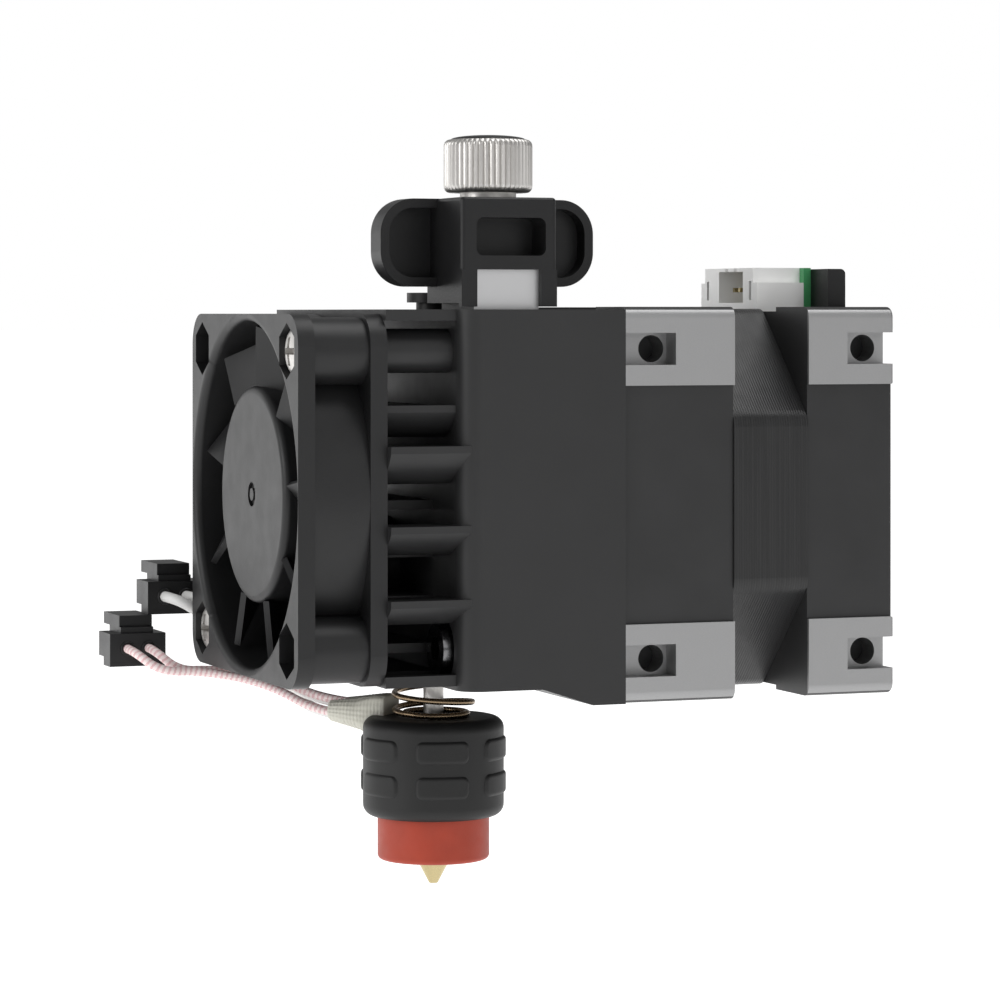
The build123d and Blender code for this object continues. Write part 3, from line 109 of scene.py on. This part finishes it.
# ---------------------------------------------------------------- materials
class Nodes:
    """A material's node tree, with short calls to add and join nodes."""

    def __init__(self, name):
        self.material = bpy.data.materials.new(name)
        self.material.use_nodes = True
        self.tree = self.material.node_tree
        self.shader = self.tree.nodes["Principled BSDF"]
        self.coords = self.add("ShaderNodeTexCoord").outputs["Object"]

    def add(self, kind, **settings):
        node = self.tree.nodes.new(kind)
        for key, value in settings.items():
            setattr(node, key, value)
        return node

    def join(self, source, target):
        self.tree.links.new(source, target)

    def stretch(self, scale):
        mapping = self.add("ShaderNodeMapping")
        mapping.inputs["Scale"].default_value = scale
        self.join(self.coords, mapping.inputs["Vector"])
        return mapping.outputs["Vector"]

    def noise(self, scale, detail=3.0, stretch=(1, 1, 1)):
        node = self.add("ShaderNodeTexNoise")
        node.inputs["Scale"].default_value = scale
        node.inputs["Detail"].default_value = detail
        self.join(self.stretch(stretch), node.inputs["Vector"])
        return node.outputs["Fac"]

    def remap(self, source, low, high, start=0.3, end=0.7):
        node = self.add("ShaderNodeMapRange")
        node.inputs["From Min"].default_value = start
        node.inputs["From Max"].default_value = end
        node.inputs["To Min"].default_value = low
        node.inputs["To Max"].default_value = high
        self.join(source, node.inputs["Value"])
        return node.outputs["Result"]

    def math(self, operation, *values):
        node = self.add("ShaderNodeMath", operation=operation)
        for socket, value in zip(node.inputs, values):
            if isinstance(value, (int, float)):
                socket.default_value = value
            else:
                self.join(value, socket)
        return node.outputs[0]

    def place(self, axis):
        """One coordinate of the surface, in metres in the part's frame."""
        split = self.add("ShaderNodeSeparateXYZ")
        self.join(self.coords, split.inputs[0])
        return split.outputs[axis]

    def distance(self, source, middle):
        """How far a value is from a middle one, on either side."""
        return self.math("ABSOLUTE", self.math("SUBTRACT", source, middle))

    def blend(self, factor, first, second):
        node = self.add("ShaderNodeMix", data_type="RGBA")
        self.join(factor, node.inputs[0])
        for socket, value in ((node.inputs[6], first), (node.inputs[7], second)):
            if isinstance(value, tuple):
                socket.default_value = (*value, 1)
            else:
                self.join(value, socket)
        return node.outputs[2]

    def mottle(self, scale, detail, colour, below, above):
        """A colour that drifts from a darker to a lighter shade of itself."""
        factor = self.remap(self.noise(scale, detail), 0, 1)
        return self.blend(factor, shade(colour, below), shade(colour, above))

    def bump(self, height, distance):
        node = self.add("ShaderNodeBump")
        node.inputs["Distance"].default_value = distance
        self.join(height, node.inputs["Height"])
        self.join(node.outputs["Normal"], self.shader.inputs["Normal"])

    def set(self, **values):
        for key, value in values.items():
            socket = self.shader.inputs[key.replace("_", " ")]
            if isinstance(value, (int, float)):
                socket.default_value = value
            elif isinstance(value, tuple):
                socket.default_value = (*value, 1)
            else:
                self.join(value, socket)


def shade(colour, factor):
    return tuple(min(1.0, c * factor) for c in colour)


FAN_BLACK = (0.010, 0.010, 0.0105)
BODY_BLACK = (0.018, 0.018, 0.0185)
PLATE_BLACK = (0.016, 0.016, 0.0165)
BARE_DARK, BARE_LIGHT = (0.28, 0.28, 0.282), (0.315, 0.315, 0.317)
CUT_ALUMINIUM = (0.5, 0.5, 0.505)
COATING_GLOSS = 0.33


def moulded(name, colour, rough, spread=0.05, grain=9000, depth=0.00001, specular=COATING_GLOSS):
    """Moulded plastic or coating: faint mottling, an even fine grain and a slightly uneven gloss."""
    m = Nodes(name)
    m.set(Base_Color=m.mottle(160, 4, colour, 1 - spread, 1 + spread),
          Roughness=m.remap(m.noise(420, 3), rough - 0.02, rough + 0.03),
          Specular_IOR_Level=specular)
    m.bump(m.noise(grain, 2), depth)
    return m.material


def metal(name, colour, rough, stretch=(1, 1, 1), grain=5000, depth=0.000004, spread=0.06):
    """Bare metal with a machined or brushed grain, drawn out along the axes of least stretch."""
    m = Nodes(name)
    lines = m.noise(grain, 3, stretch)
    m.set(Base_Color=m.mottle(220, 3, colour, 1 - spread, 1 + spread),
          Metallic=1.0,
          Roughness=m.remap(lines, rough - 0.06, rough + 0.08))
    m.bump(lines, depth)
    return m.material


def rubber(name, colour):
    """Silicone rubber: matt, with a soft sheen and a fine moulded skin."""
    m = Nodes(name)
    m.set(Base_Color=m.mottle(300, 4, colour, 0.93, 1.07),
          Roughness=m.remap(m.noise(900, 3), 0.5, 0.62),
          Specular_IOR_Level=0.35, Sheen_Weight=0.12)
    m.bump(m.noise(7000, 2), 0.000012)
    return m.material


LAYER = 0.0003


def laminated():
    """A stack of thin black plates: a fine groove between each two, and a slight change from plate to plate."""
    m = Nodes("stack")
    wave = m.math("SINE", m.math("MULTIPLY", m.place("X"), 2 * pi / LAYER))
    groove = m.math("LESS_THAN", wave, -0.55)
    plate_tone = m.remap(m.noise(1.0 / LAYER, 0, (1, 0.02, 0.02)), 0, 1)
    plates = m.blend(plate_tone, (0.010, 0.010, 0.0105), PLATE_BLACK)
    m.set(Base_Color=m.blend(groove, plates, (0.010, 0.010, 0.010)),
          Roughness=m.remap(m.noise(700), 0.3, 0.42),
          Specular_IOR_Level=0.35)
    m.bump(wave, 0.00001)
    return m.material


# where the motor's caps are bare, in metres from the motor's axis and along it
CORNER_FACE = 0.02122
SLOT_Z, SLOT_HALF_WIDTH, SLOT_FLOOR = 0.017, 0.00176, 0.01885
SLOTS_MIDDLE_X, SLOTS_INNER_END = -0.00065, 0.01035
HOLE_X, HOLE_REACH, HOLE_FLOOR = 0.0129, 0.00155, 0.01595


def coated_cap():
    """Black coating, cut away to bare metal on the outermost corner faces, in the slots and in the tapped holes."""
    m = Nodes("motor_cap")
    x = m.place("X")
    out = m.distance(m.place("Y"), HUB.y * MM)
    off_slot = m.distance(m.math("ABSOLUTE", m.place("Z")), SLOT_Z)
    off_hole = m.math("MAXIMUM", off_slot, m.distance(m.math("ABSOLUTE", x), HOLE_X))
    on_corner = m.math("GREATER_THAN", out, CORNER_FACE)
    in_slot = m.math(
        "MULTIPLY",
        m.math("MULTIPLY",
               m.math("GREATER_THAN", out, SLOT_FLOOR),
               m.math("GREATER_THAN", m.distance(x, SLOTS_MIDDLE_X), SLOTS_INNER_END)),
        m.math("LESS_THAN", off_slot, SLOT_HALF_WIDTH))
    in_hole = m.math("MULTIPLY",
                     m.math("GREATER_THAN", out, HOLE_FLOOR),
                     m.math("LESS_THAN", off_hole, HOLE_REACH))
    bare = m.math("MAXIMUM", on_corner, m.math("MAXIMUM", in_slot, in_hole))
    lines = m.noise(4200, 3, (1, 1, 10))
    black = m.mottle(160, 4, BODY_BLACK, 0.9, 1.12)
    grey = m.blend(m.remap(lines, 0, 1), BARE_DARK, BARE_LIGHT)
    m.set(Base_Color=m.blend(bare, black, grey),
          Specular_IOR_Level=COATING_GLOSS,
          Metallic=m.math("MULTIPLY", bare, 0.8),
          Roughness=m.math("ADD", m.math("MULTIPLY", bare, 0.04), m.remap(lines, 0.36, 0.44)))
    m.bump(m.noise(12000, 2), 0.000008)
    return m.material


ARM_FRONT = -0.03845


def cut_face():
    """Machined bare metal on the side that shows between the lever's legs, coated black elsewhere."""
    m = Nodes("bare_aluminium")
    bare = m.math("LESS_THAN", m.place("Y"), ARM_FRONT)
    lines = m.noise(5000, 3, (12, 1, 1))
    m.set(Base_Color=m.blend(bare, BODY_BLACK, CUT_ALUMINIUM),
          Metallic=bare,
          Roughness=m.remap(lines, 0.36, 0.5),
          Specular_IOR_Level=COATING_GLOSS)
    m.bump(lines, 0.000003)
    return m.material


MATERIALS = {
    "fan_plastic": moulded("fan_plastic", FAN_BLACK, 0.42),
    "anodised": moulded("anodised", BODY_BLACK, 0.42, grain=14000, depth=0.000006),
    "bare_aluminium": cut_face(),
    "stack": laminated(),
    "steel": metal("steel", (0.57, 0.555, 0.535), 0.38, grain=3000, depth=0.000001, spread=0.03),
    "black_screw": metal("black_screw", (0.16, 0.16, 0.165), 0.2, depth=0.000001),
    "magnet": metal("magnet", (0.3, 0.3, 0.31), 0.4),
    "copper": metal("copper", (0.72, 0.38, 0.2), 0.3),
    "white_plastic": moulded("white_plastic", (0.86, 0.86, 0.85), 0.4, spread=0.03),
    "black_plastic": moulded("black_plastic", (0.009, 0.009, 0.0095), 0.38, specular=0.28),
    "board": moulded("board", (0.07, 0.33, 0.13), 0.3),
    "brass": metal("brass", (0.50, 0.42, 0.23), 0.28, (1, 1, 8)),
    "spring_steel": metal("spring_steel", (0.26, 0.19, 0.12), 0.25, depth=0.000001),
    "cap_black": moulded("cap_black", (0.009, 0.009, 0.009), 0.5, depth=0.000016),
    "sock_red": rubber("sock_red", (0.33, 0.036, 0.014)),
    "ceramic": moulded("ceramic", (0.7, 0.69, 0.65), 0.5, spread=0.04),
    "wire_white": moulded("wire_white", (0.66, 0.66, 0.65), 0.4, spread=0.04),
    "wire_striped": moulded("wire_striped", (0.80, 0.69, 0.68), 0.7, grain=14000, depth=0.00003),
    "braid": moulded("braid", (0.60, 0.59, 0.52), 0.85, grain=12000, depth=0.00003),
    "motor_cap": coated_cap(),
}
TRACER = moulded("wire_tracer", (0.68, 0.45, 0.46), 0.7, grain=14000, depth=0.00003)

for row in frame["record"]["subparts"]:
    obj = NODES[row["node"]]
    obj.data.materials.clear()
    obj.data.materials.append(MATERIALS[row["material_slot"]])


# ---------------------------------------------------------------- mesh building
def new_piece(name, mesh, slot, body, *replaced):
    """Make a smooth-shaded object of a mesh, in its slot's material, riding on a body."""
    piece = bpy.data.objects.new(name, mesh)
    bpy.context.scene.collection.objects.link(piece)
    mesh.materials.append(MATERIALS[slot])
    for polygon in mesh.polygons:
        polygon.use_smooth = True
    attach(piece, body)
    if replaced:
        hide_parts(*replaced)
    return piece


CREASE = 35


def sharpen(mesh):
    """Mark a mesh's edges as sharp where its faces meet at more than the crease angle."""
    bm = bmesh.new()
    bm.from_mesh(mesh)
    for edge in bm.edges:
        edge.smooth = edge.calc_face_angle(0) < radians(CREASE)
    bm.to_mesh(mesh)
    bm.free()


def skin(rings, closed_around=True, capped=True):
    """A mesh over equal rings of points, its ends closed by a face each unless it is left open."""
    count = len(rings[0])
    vertices = [tuple(point) for ring in rings for point in ring]
    around = count if closed_around else count - 1
    faces = []
    for i in range(len(rings) - 1):
        here, ahead = i * count, (i + 1) * count
        faces += [(here + k, here + (k + 1) % count, ahead + (k + 1) % count, ahead + k) for k in range(around)]
    if capped:
        faces.append(tuple(reversed(range(count))))
        faces.append(tuple(range((len(rings) - 1) * count, len(rings) * count)))
    mesh = bpy.data.meshes.new("skin")
    mesh.from_pydata(vertices, [], faces)
    bm = bmesh.new()
    bm.from_mesh(mesh)
    bmesh.ops.recalc_face_normals(bm, faces=bm.faces)
    bm.to_mesh(mesh)
    bm.free()
    return mesh


def tube(points, radius, sides):
    """A round tube that follows points, carried along without twisting."""
    rings = []
    side = None
    for i, point in enumerate(points):
        ahead = points[min(i + 1, len(points) - 1)]
        behind = points[max(i - 1, 0)]
        along = (ahead - behind).normalized()
        if side is None:
            side = along.orthogonal().normalized()
        side = (side - along * side.dot(along)).normalized()
        other = along.cross(side)
        turns = [2 * pi * k / sides for k in range(sides)]
        rings.append([point + (side * cos(turn) + other * sin(turn)) * radius * MM for turn in turns])
    return skin(rings)


def turned(centre, profile, steps, notch=None):
    """A solid of revolution about an upright axis; profile rows are (r, z, notch depth), in mm."""
    rings = []
    for r, z, depth in profile:
        ring = []
        for k in range(steps):
            angle = 2 * pi * k / steps
            reach = r - (depth * notch(k) if notch else 0)
            ring.append(at(centre[0] + reach * cos(angle), centre[1] + reach * sin(angle), z))
        rings.append(ring)
    return skin(rings)


# ---------------------------------------------------------------- wires
def route(name, points, radius):
    """A cord on one NURBS spline through the route's control points."""
    data = bpy.data.curves.new(name, "CURVE")
    data.dimensions = "3D"
    spline = data.splines.new("NURBS")
    spline.points.add(len(points) - 1)
    for control, point in zip(spline.points, points):
        control.co = (*at(*point), 1)
    spline.order_u = 3
    spline.use_endpoint_u = True
    spline.resolution_u = 48
    data.bevel_depth = radius * MM
    data.bevel_resolution = 6
    data.use_fill_caps = True
    cord = bpy.data.objects.new(name, data)
    bpy.context.scene.collection.objects.link(cord)
    return cord


def spline_points(cord):
    """The points of a curve with no bevel, as Blender works them out; the curve is then removed."""
    bpy.context.view_layer.update()
    mesh = bpy.data.meshes.new_from_object(cord)
    points = [vertex.co.copy() for vertex in mesh.vertices]
    bpy.data.meshes.remove(mesh)
    bpy.data.objects.remove(cord)
    return points


SLEEVE_TURN = radians(135)


def in_sleeve(side, up, r):
    """A point along the sleeve, r from the filament's axis, off its centre line."""
    return (FILAMENT_X + r * cos(SLEEVE_TURN) + side * sin(SLEEVE_TURN),
            r * sin(SLEEVE_TURN) - side * cos(SLEEVE_TURN),
            -24.4 + up)


TRACER_PITCH = 0.00062
TRACER_SHARE = 0.42


def add_tracer(mesh, points, sides):
    """Colour a helical stripe round a wire's tube with its second material."""
    travelled = 0.0
    for i, (here, ahead) in enumerate(zip(points, points[1:])):
        for k in range(sides):
            turn = travelled / TRACER_PITCH + k / sides
            mesh.polygons[i * sides + k].material_index = int(turn % 1 < TRACER_SHARE)
        travelled += (ahead - here).length


# each wire's node, its plug, its radius in mm, its length in metres, and its route
WIRES = (
    ("sensor_wire_a", "sensor_plug", 0.5, 0.0339, [
        in_sleeve(-1.0, -0.5, 6.3), in_sleeve(-1.0, -0.5, 13.3), (7.2, 14.4, -21.6),
        (0.6, 17.9, -20.3), (-4.3, 18.2, -20.3), (-6.97, 20.4, -17.95), (-6.97, 23.0, -17.95)]),
    ("sensor_wire_b", "sensor_plug", 0.5, 0.0317, [
        in_sleeve(-0.5, 0.95, 6.3), in_sleeve(-0.5, 0.95, 13.3), (7.9, 15.9, -20.6),
        (1.6, 19.0, -20.3), (-1.9, 19.2, -20.3), (-4.43, 20.7, -17.95), (-4.43, 23.0, -17.95)]),
    ("heater_wire_a", "heater_plug", 0.62, 0.0349, [
        in_sleeve(0.9, 0.45, 6.3), in_sleeve(0.9, 0.45, 13.3), (8.6, 18.0, -21.2),
        (6.3, 21.9, -19.6), (4.4, 22.1, -15.8), (1.0, 21.3, -13.7), (-1.0, 21.2, -12.5),
        (-2.17, 22.4, -12.1), (-2.17, 24.0, -12.1)]),
    ("heater_wire_b", "heater_plug", 0.62, 0.0358, [
        in_sleeve(0.45, -0.85, 6.3), in_sleeve(0.45, -0.85, 13.3), (10.7, 16.9, -23.3),
        (8.9, 22.2, -20.8), (6.9, 23.4, -16.8), (4.6, 21.8, -13.6), (1.7, 21.2, -12.3),
        (0.37, 22.4, -12.1), (0.37, 24.0, -12.1)]),
)
TUBE_SIDES = 16
for name, plug, radius, length, points in WIRES:
    if name.startswith("sensor"):
        line = spline_points(route(name + "_route", points, 0.0))
        mesh = tube(line, radius, TUBE_SIDES)
        wire = new_piece(name + "_cord", mesh, "wire_striped", "heater", name)
        mesh.materials.append(TRACER)
        add_tracer(mesh, line, TUBE_SIDES)
    else:
        wire = route(name + "_cord", points, radius)
        wire.data.materials.append(MATERIALS["wire_white"])
        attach(wire, "heater")
        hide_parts(name)

# painted shade ring at each plug's mouth: its gap to the wire, its thickness and how far it sinks, in mm
ENTRY_SHADE_GAP, ENTRY_SHADE_THICKNESS, ENTRY_SHADE_SINK = 0.16, 0.17, 0.05


def ring_about_y(centre, radius, thickness, steps=32, sides=10):
    """A small ring about the Y axis."""
    rings = []
    for k in range(steps + 1):
        angle = 2 * pi * k / steps
        out = Vector((cos(angle), 0, sin(angle)))
        section = []
        for j in range(sides):
            turn = 2 * pi * j / sides
            offset = out * (radius + thickness * cos(turn)) + Vector((0, thickness * sin(turn), 0))
            section.append(at(*centre) + offset * MM)
        rings.append(section)
    return skin(rings, capped=False)


# painted shade: a dark ring round each wire where it enters its plug, standing in for the shade in the gap at the
# hole's mouth
for name, _, radius, _, points in WIRES:
    x, y, z = points[-1]
    entry_shade_ring = ring_about_y((x, y - ENTRY_SHADE_SINK, z), radius + ENTRY_SHADE_GAP, ENTRY_SHADE_THICKNESS)
    new_piece(name + "_entry_shade", entry_shade_ring, "black_plastic", "heater")

# ---------------------------------------------------------------- woven sleeve over the heater's leads
SLEEVE_START, SLEEVE_LENGTH = 5.2, 7.4
SLEEVE_Z, SLEEVE_RISE = -24.7, 0.35
SLEEVE_HALF_WIDTH, SLEEVE_NARROWS = 2.14, 0.55
SLEEVE_HALF_HEIGHT, SLEEVE_FLATTENS, FLATTEN_FROM = 2.35, 1.1, 0.16
BLOCK_END, SQUARE_FADE = 0.5, 0.34
OVAL, SQUARER = 2.4, 3.6
WEAVE_DEPTH, WEAVE_STRANDS, WEAVE_SLANT = 0.055, 11, 52
START_ROUNDING, ROUNDING_ROWS = 0.12, 4


def woven_sleeve(rows=150, sides=110):
    """A flattened sleeve of woven glass fibre: squarer over the lead block, narrowing towards its free end."""
    outward = Vector((cos(SLEEVE_TURN), sin(SLEEVE_TURN), 0))
    across = Vector((sin(SLEEVE_TURN), -cos(SLEEVE_TURN), 0))
    rings = []
    for i in range(rows + 1):
        share = i / rows
        wide = SLEEVE_HALF_WIDTH - SLEEVE_NARROWS * share ** 1.5
        tall = SLEEVE_HALF_HEIGHT - SLEEVE_FLATTENS * max(0.0, share - FLATTEN_FROM) / (1 - FLATTEN_FROM)
        power = OVAL + SQUARER * min(1.0, max(0.0, (BLOCK_END - share) / SQUARE_FADE))
        centre = at(FILAMENT_X, 0, SLEEVE_Z + SLEEVE_RISE * share)
        centre += outward * (SLEEVE_START + SLEEVE_LENGTH * share) * MM
        rounding = 1 - START_ROUNDING * max(0.0, 1 - i / ROUNDING_ROWS) ** 2
        section = []
        for k in range(sides):
            angle = 2 * pi * k / sides
            slant = WEAVE_SLANT * share
            weave = WEAVE_DEPTH * sin(WEAVE_STRANDS * angle + slant) * sin(WEAVE_STRANDS * angle - slant)
            c, s = cos(angle), sin(angle)
            reach = 1 / (abs(c) ** power + abs(s) ** power) ** (1 / power)
            offset = across * (wide * c * reach + weave * c) + Vector((0, 0, tall * s * reach + weave * s))
            section.append(centre + offset * rounding * MM)
        rings.append(section)
    return skin(rings)


new_piece("woven_sleeve", woven_sleeve(), "braid", "heater", "wire_sleeve")

# ---------------------------------------------------------------- spring over the heater
COIL_TURNS, COIL_STEPS = 2.83, 200
COIL_START = radians(159)
FOOT_Z, COIL_CLIMB = -24.15, 4.0
FLAT_TURNS, TOP_TURNS = 0.75, 0.58
FOOT_R, FOOT_GROWS, TOP_SHRINKS = 3.2, 1.2, 0.8
COIL_WIRE_R = 0.34


def contact_spring():
    """A line that widens from a flat foot on the cap and climbs clockwise to the body."""
    points = []
    for i in range(COIL_STEPS + 1):
        turn = COIL_TURNS * i / COIL_STEPS
        angle = COIL_START - 2 * pi * turn
        climb = max(0.0, (turn - FLAT_TURNS) / (COIL_TURNS - FLAT_TURNS)) ** 1.15
        top = max(0.0, turn - COIL_TURNS + TOP_TURNS) / TOP_TURNS
        r = FOOT_R + FOOT_GROWS * min(turn, 1.0) - TOP_SHRINKS * top
        points.append(at(FILAMENT_X + r * cos(angle), r * sin(angle), FOOT_Z + COIL_CLIMB * climb))
    return points


spring = new_piece("contact_spring", tube(contact_spring(), COIL_WIRE_R, 14), "spring_steel", "root",
                   "hot_side_spring")
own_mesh(spring)

# ---------------------------------------------------------------- thumb screw
KNURLS = 48
KNURL_STEPS = 6
SCREW = (23.7, -14.0)
DOME_R, DOME_Z, DOME_RISE = 4.1, 39.85, 0.5


def knurl(step):
    """How deep the knob's rim is cut at one step around it: a V between two flat lands."""
    return max(0.0, 1 - abs((step % KNURL_STEPS) - KNURL_STEPS / 2) / 1.8)


knob_profile = [
    (0.01, 26.92, 0), (1.5, 26.92, 0), (1.5, 33.4, 0), (2.9, 33.4, 0), (3.07, 33.5, 0), (3.07, 34.05, 0),
    (4.3, 34.06, 0), (4.5, 34.12, 0.05), (4.72, 34.32, 0.14), (4.84, 34.6, 0.17), (4.86, 34.9, 0.18),
    (4.86, 39.05, 0.18), (4.84, 39.35, 0.17), (4.72, 39.6, 0.14), (4.5, 39.79, 0.05), (4.3, 39.85, 0),
    (0.01, 39.85, 0)]
knob_mesh = turned(SCREW, knob_profile, KNURLS * KNURL_STEPS, knurl)
sharpen(knob_mesh)
new_piece("knurled_screw", knob_mesh, "steel", "thumb", "thumb_screw")

dome_profile = [(DOME_R * cos(radians(tilt)), DOME_Z + DOME_RISE * sin(radians(tilt)), 0)
                for tilt in range(0, 90, 5)]
dome_profile.append((0.01, DOME_Z + DOME_RISE, 0))
new_piece("knob_dome", turned(SCREW, dome_profile, 96), "black_plastic", "thumb", "thumb_screw_cap")

# ---------------------------------------------------------------- the fan's screws
FAN_SCREWS = ((-16.0, 16.84), (16.0, -15.16))
HEAD_R, HEAD_RISE = 2.5, 0.75
HEAD_RIM_X, HEAD_BACK_X = 0.9, 2.9
SHANK_R, SHANK_END_X = 1.5, 15.6
CROSS_HALF_WIDTH, CROSS_REACH, CROSS_DEPTH = 0.32, 1.5, 0.9


def pan_head_screw(y, z, sides=96):
    """A screw along X with a domed head, which has a cross cut in it."""
    profile = [(SHANK_END_X, SHANK_R), (HEAD_BACK_X, SHANK_R), (HEAD_BACK_X, HEAD_R), (HEAD_RIM_X, HEAD_R)]
    for tilt in range(3, 91, 3):
        turn = radians(tilt)
        profile.append((HEAD_RIM_X - HEAD_RISE * sin(turn), max(HEAD_R * cos(turn), 0.01)))
    rings = []
    for x, r in profile:
        section = []
        for k in range(sides):
            angle = 2 * pi * k / sides
            u, v = r * cos(angle), r * sin(angle)
            in_bar = min(abs(u), abs(v)) < CROSS_HALF_WIDTH and max(abs(u), abs(v)) < CROSS_REACH
            sunk = CROSS_DEPTH if x < HEAD_RIM_X and in_bar else 0
            section.append(at(x + sunk, y + u, z + v))
        rings.append(section)
    return skin(rings)


for count, (y, z) in enumerate(FAN_SCREWS):
    head_mesh = pan_head_screw(y, z)
    sharpen(head_mesh)
    new_piece(f"fan_screw_{count}", head_mesh, "steel", "root", "fan_screws")

# ---------------------------------------------------------------- grip pads round the heater's cap
PAD_COUNT = 6
PAD_START, PAD_STEP = -102, 60
PAD_BARS = (-27.85, -31.75)
PAD_WIDTH, PAD_HEIGHT, PAD_CORNER = 6.3, 2.7, 0.9
PAD_MARGIN, PAD_SLOPE = 0.8, 0.4
PAD_ROOT_R, PAD_LIFT, PAD_ARC_R = 7.85, 0.34, 8.0


def grip_pad(angle, middle, columns=44, rows=22):
    """A raised bar with soft edges that grows out of the cap's round side."""
    rings = []
    for i in range(rows + 1):
        v = (i / rows - 0.5) * (PAD_HEIGHT + PAD_MARGIN)
        over = max(abs(v) - PAD_HEIGHT / 2 + PAD_CORNER, 0)
        section = []
        for k in range(columns + 1):
            u = (k / columns - 0.5) * (PAD_WIDTH + PAD_MARGIN)
            beyond = hypot(max(abs(u) - PAD_WIDTH / 2 + PAD_CORNER, 0), over) - PAD_CORNER
            inside = min(max(-beyond / PAD_SLOPE + 0.15, 0.0), 1.0)
            rise = inside * inside * (3 - 2 * inside)
            r = PAD_ROOT_R + PAD_LIFT * rise
            turn = angle + u / PAD_ARC_R
            section.append(at(FILAMENT_X + r * cos(turn), r * sin(turn), middle + v))
        rings.append(section)
    return skin(rings, closed_around=False, capped=False)


for count in range(PAD_COUNT):
    for bar, middle in enumerate(PAD_BARS):
        pad_mesh = grip_pad(radians(PAD_START + PAD_STEP * count), middle)
        new_piece(f"grip_pad_{count}_{bar}", pad_mesh, "cap_black", "heater")

# ---------------------------------------------------------------- edges of the carried-over solids
EDGE_WIDTH = 0.1
SOFTER_EDGES = {"tension_lever": 0.3, "fan_frame": 0.16, "housing": 0.16, "sensor_plug": 0.16,
                "heater_plug": 0.16}
for node, obj in NODES.items():
    bevel = obj.modifiers.new("eased_edges", "BEVEL")
    bevel.width = SOFTER_EDGES.get(node, EDGE_WIDTH) * MM
    bevel.segments = 3
    bevel.limit_method = "ANGLE"
    bevel.angle_limit = radians(40)
    bevel.harden_normals = True

# ---------------------------------------------------------------- floor
FLOOR_Z = -0.075
FLOOR_HALF = 20
floor_mesh = bpy.data.meshes.new("floor")
corners = [(x * FLOOR_HALF, y * FLOOR_HALF, 0) for x, y in ((-1, -1), (1, -1), (1, 1), (-1, 1))]
floor_mesh.from_pydata(corners, [], [(0, 1, 2, 3)])
floor = bpy.data.objects.new("floor", floor_mesh)
floor.location.z = FLOOR_Z
bpy.context.scene.collection.objects.link(floor)
paper = Nodes("floor_white")
paper.set(Base_Color=paper.blend(paper.noise(40), (0.9, 0.9, 0.9), (0.92, 0.92, 0.92)), Roughness=0.9,
          Specular_IOR_Level=0.1, Emission_Color=(1.0, 1.0, 1.0), Emission_Strength=0.75)
floor.data.materials.append(paper.material)
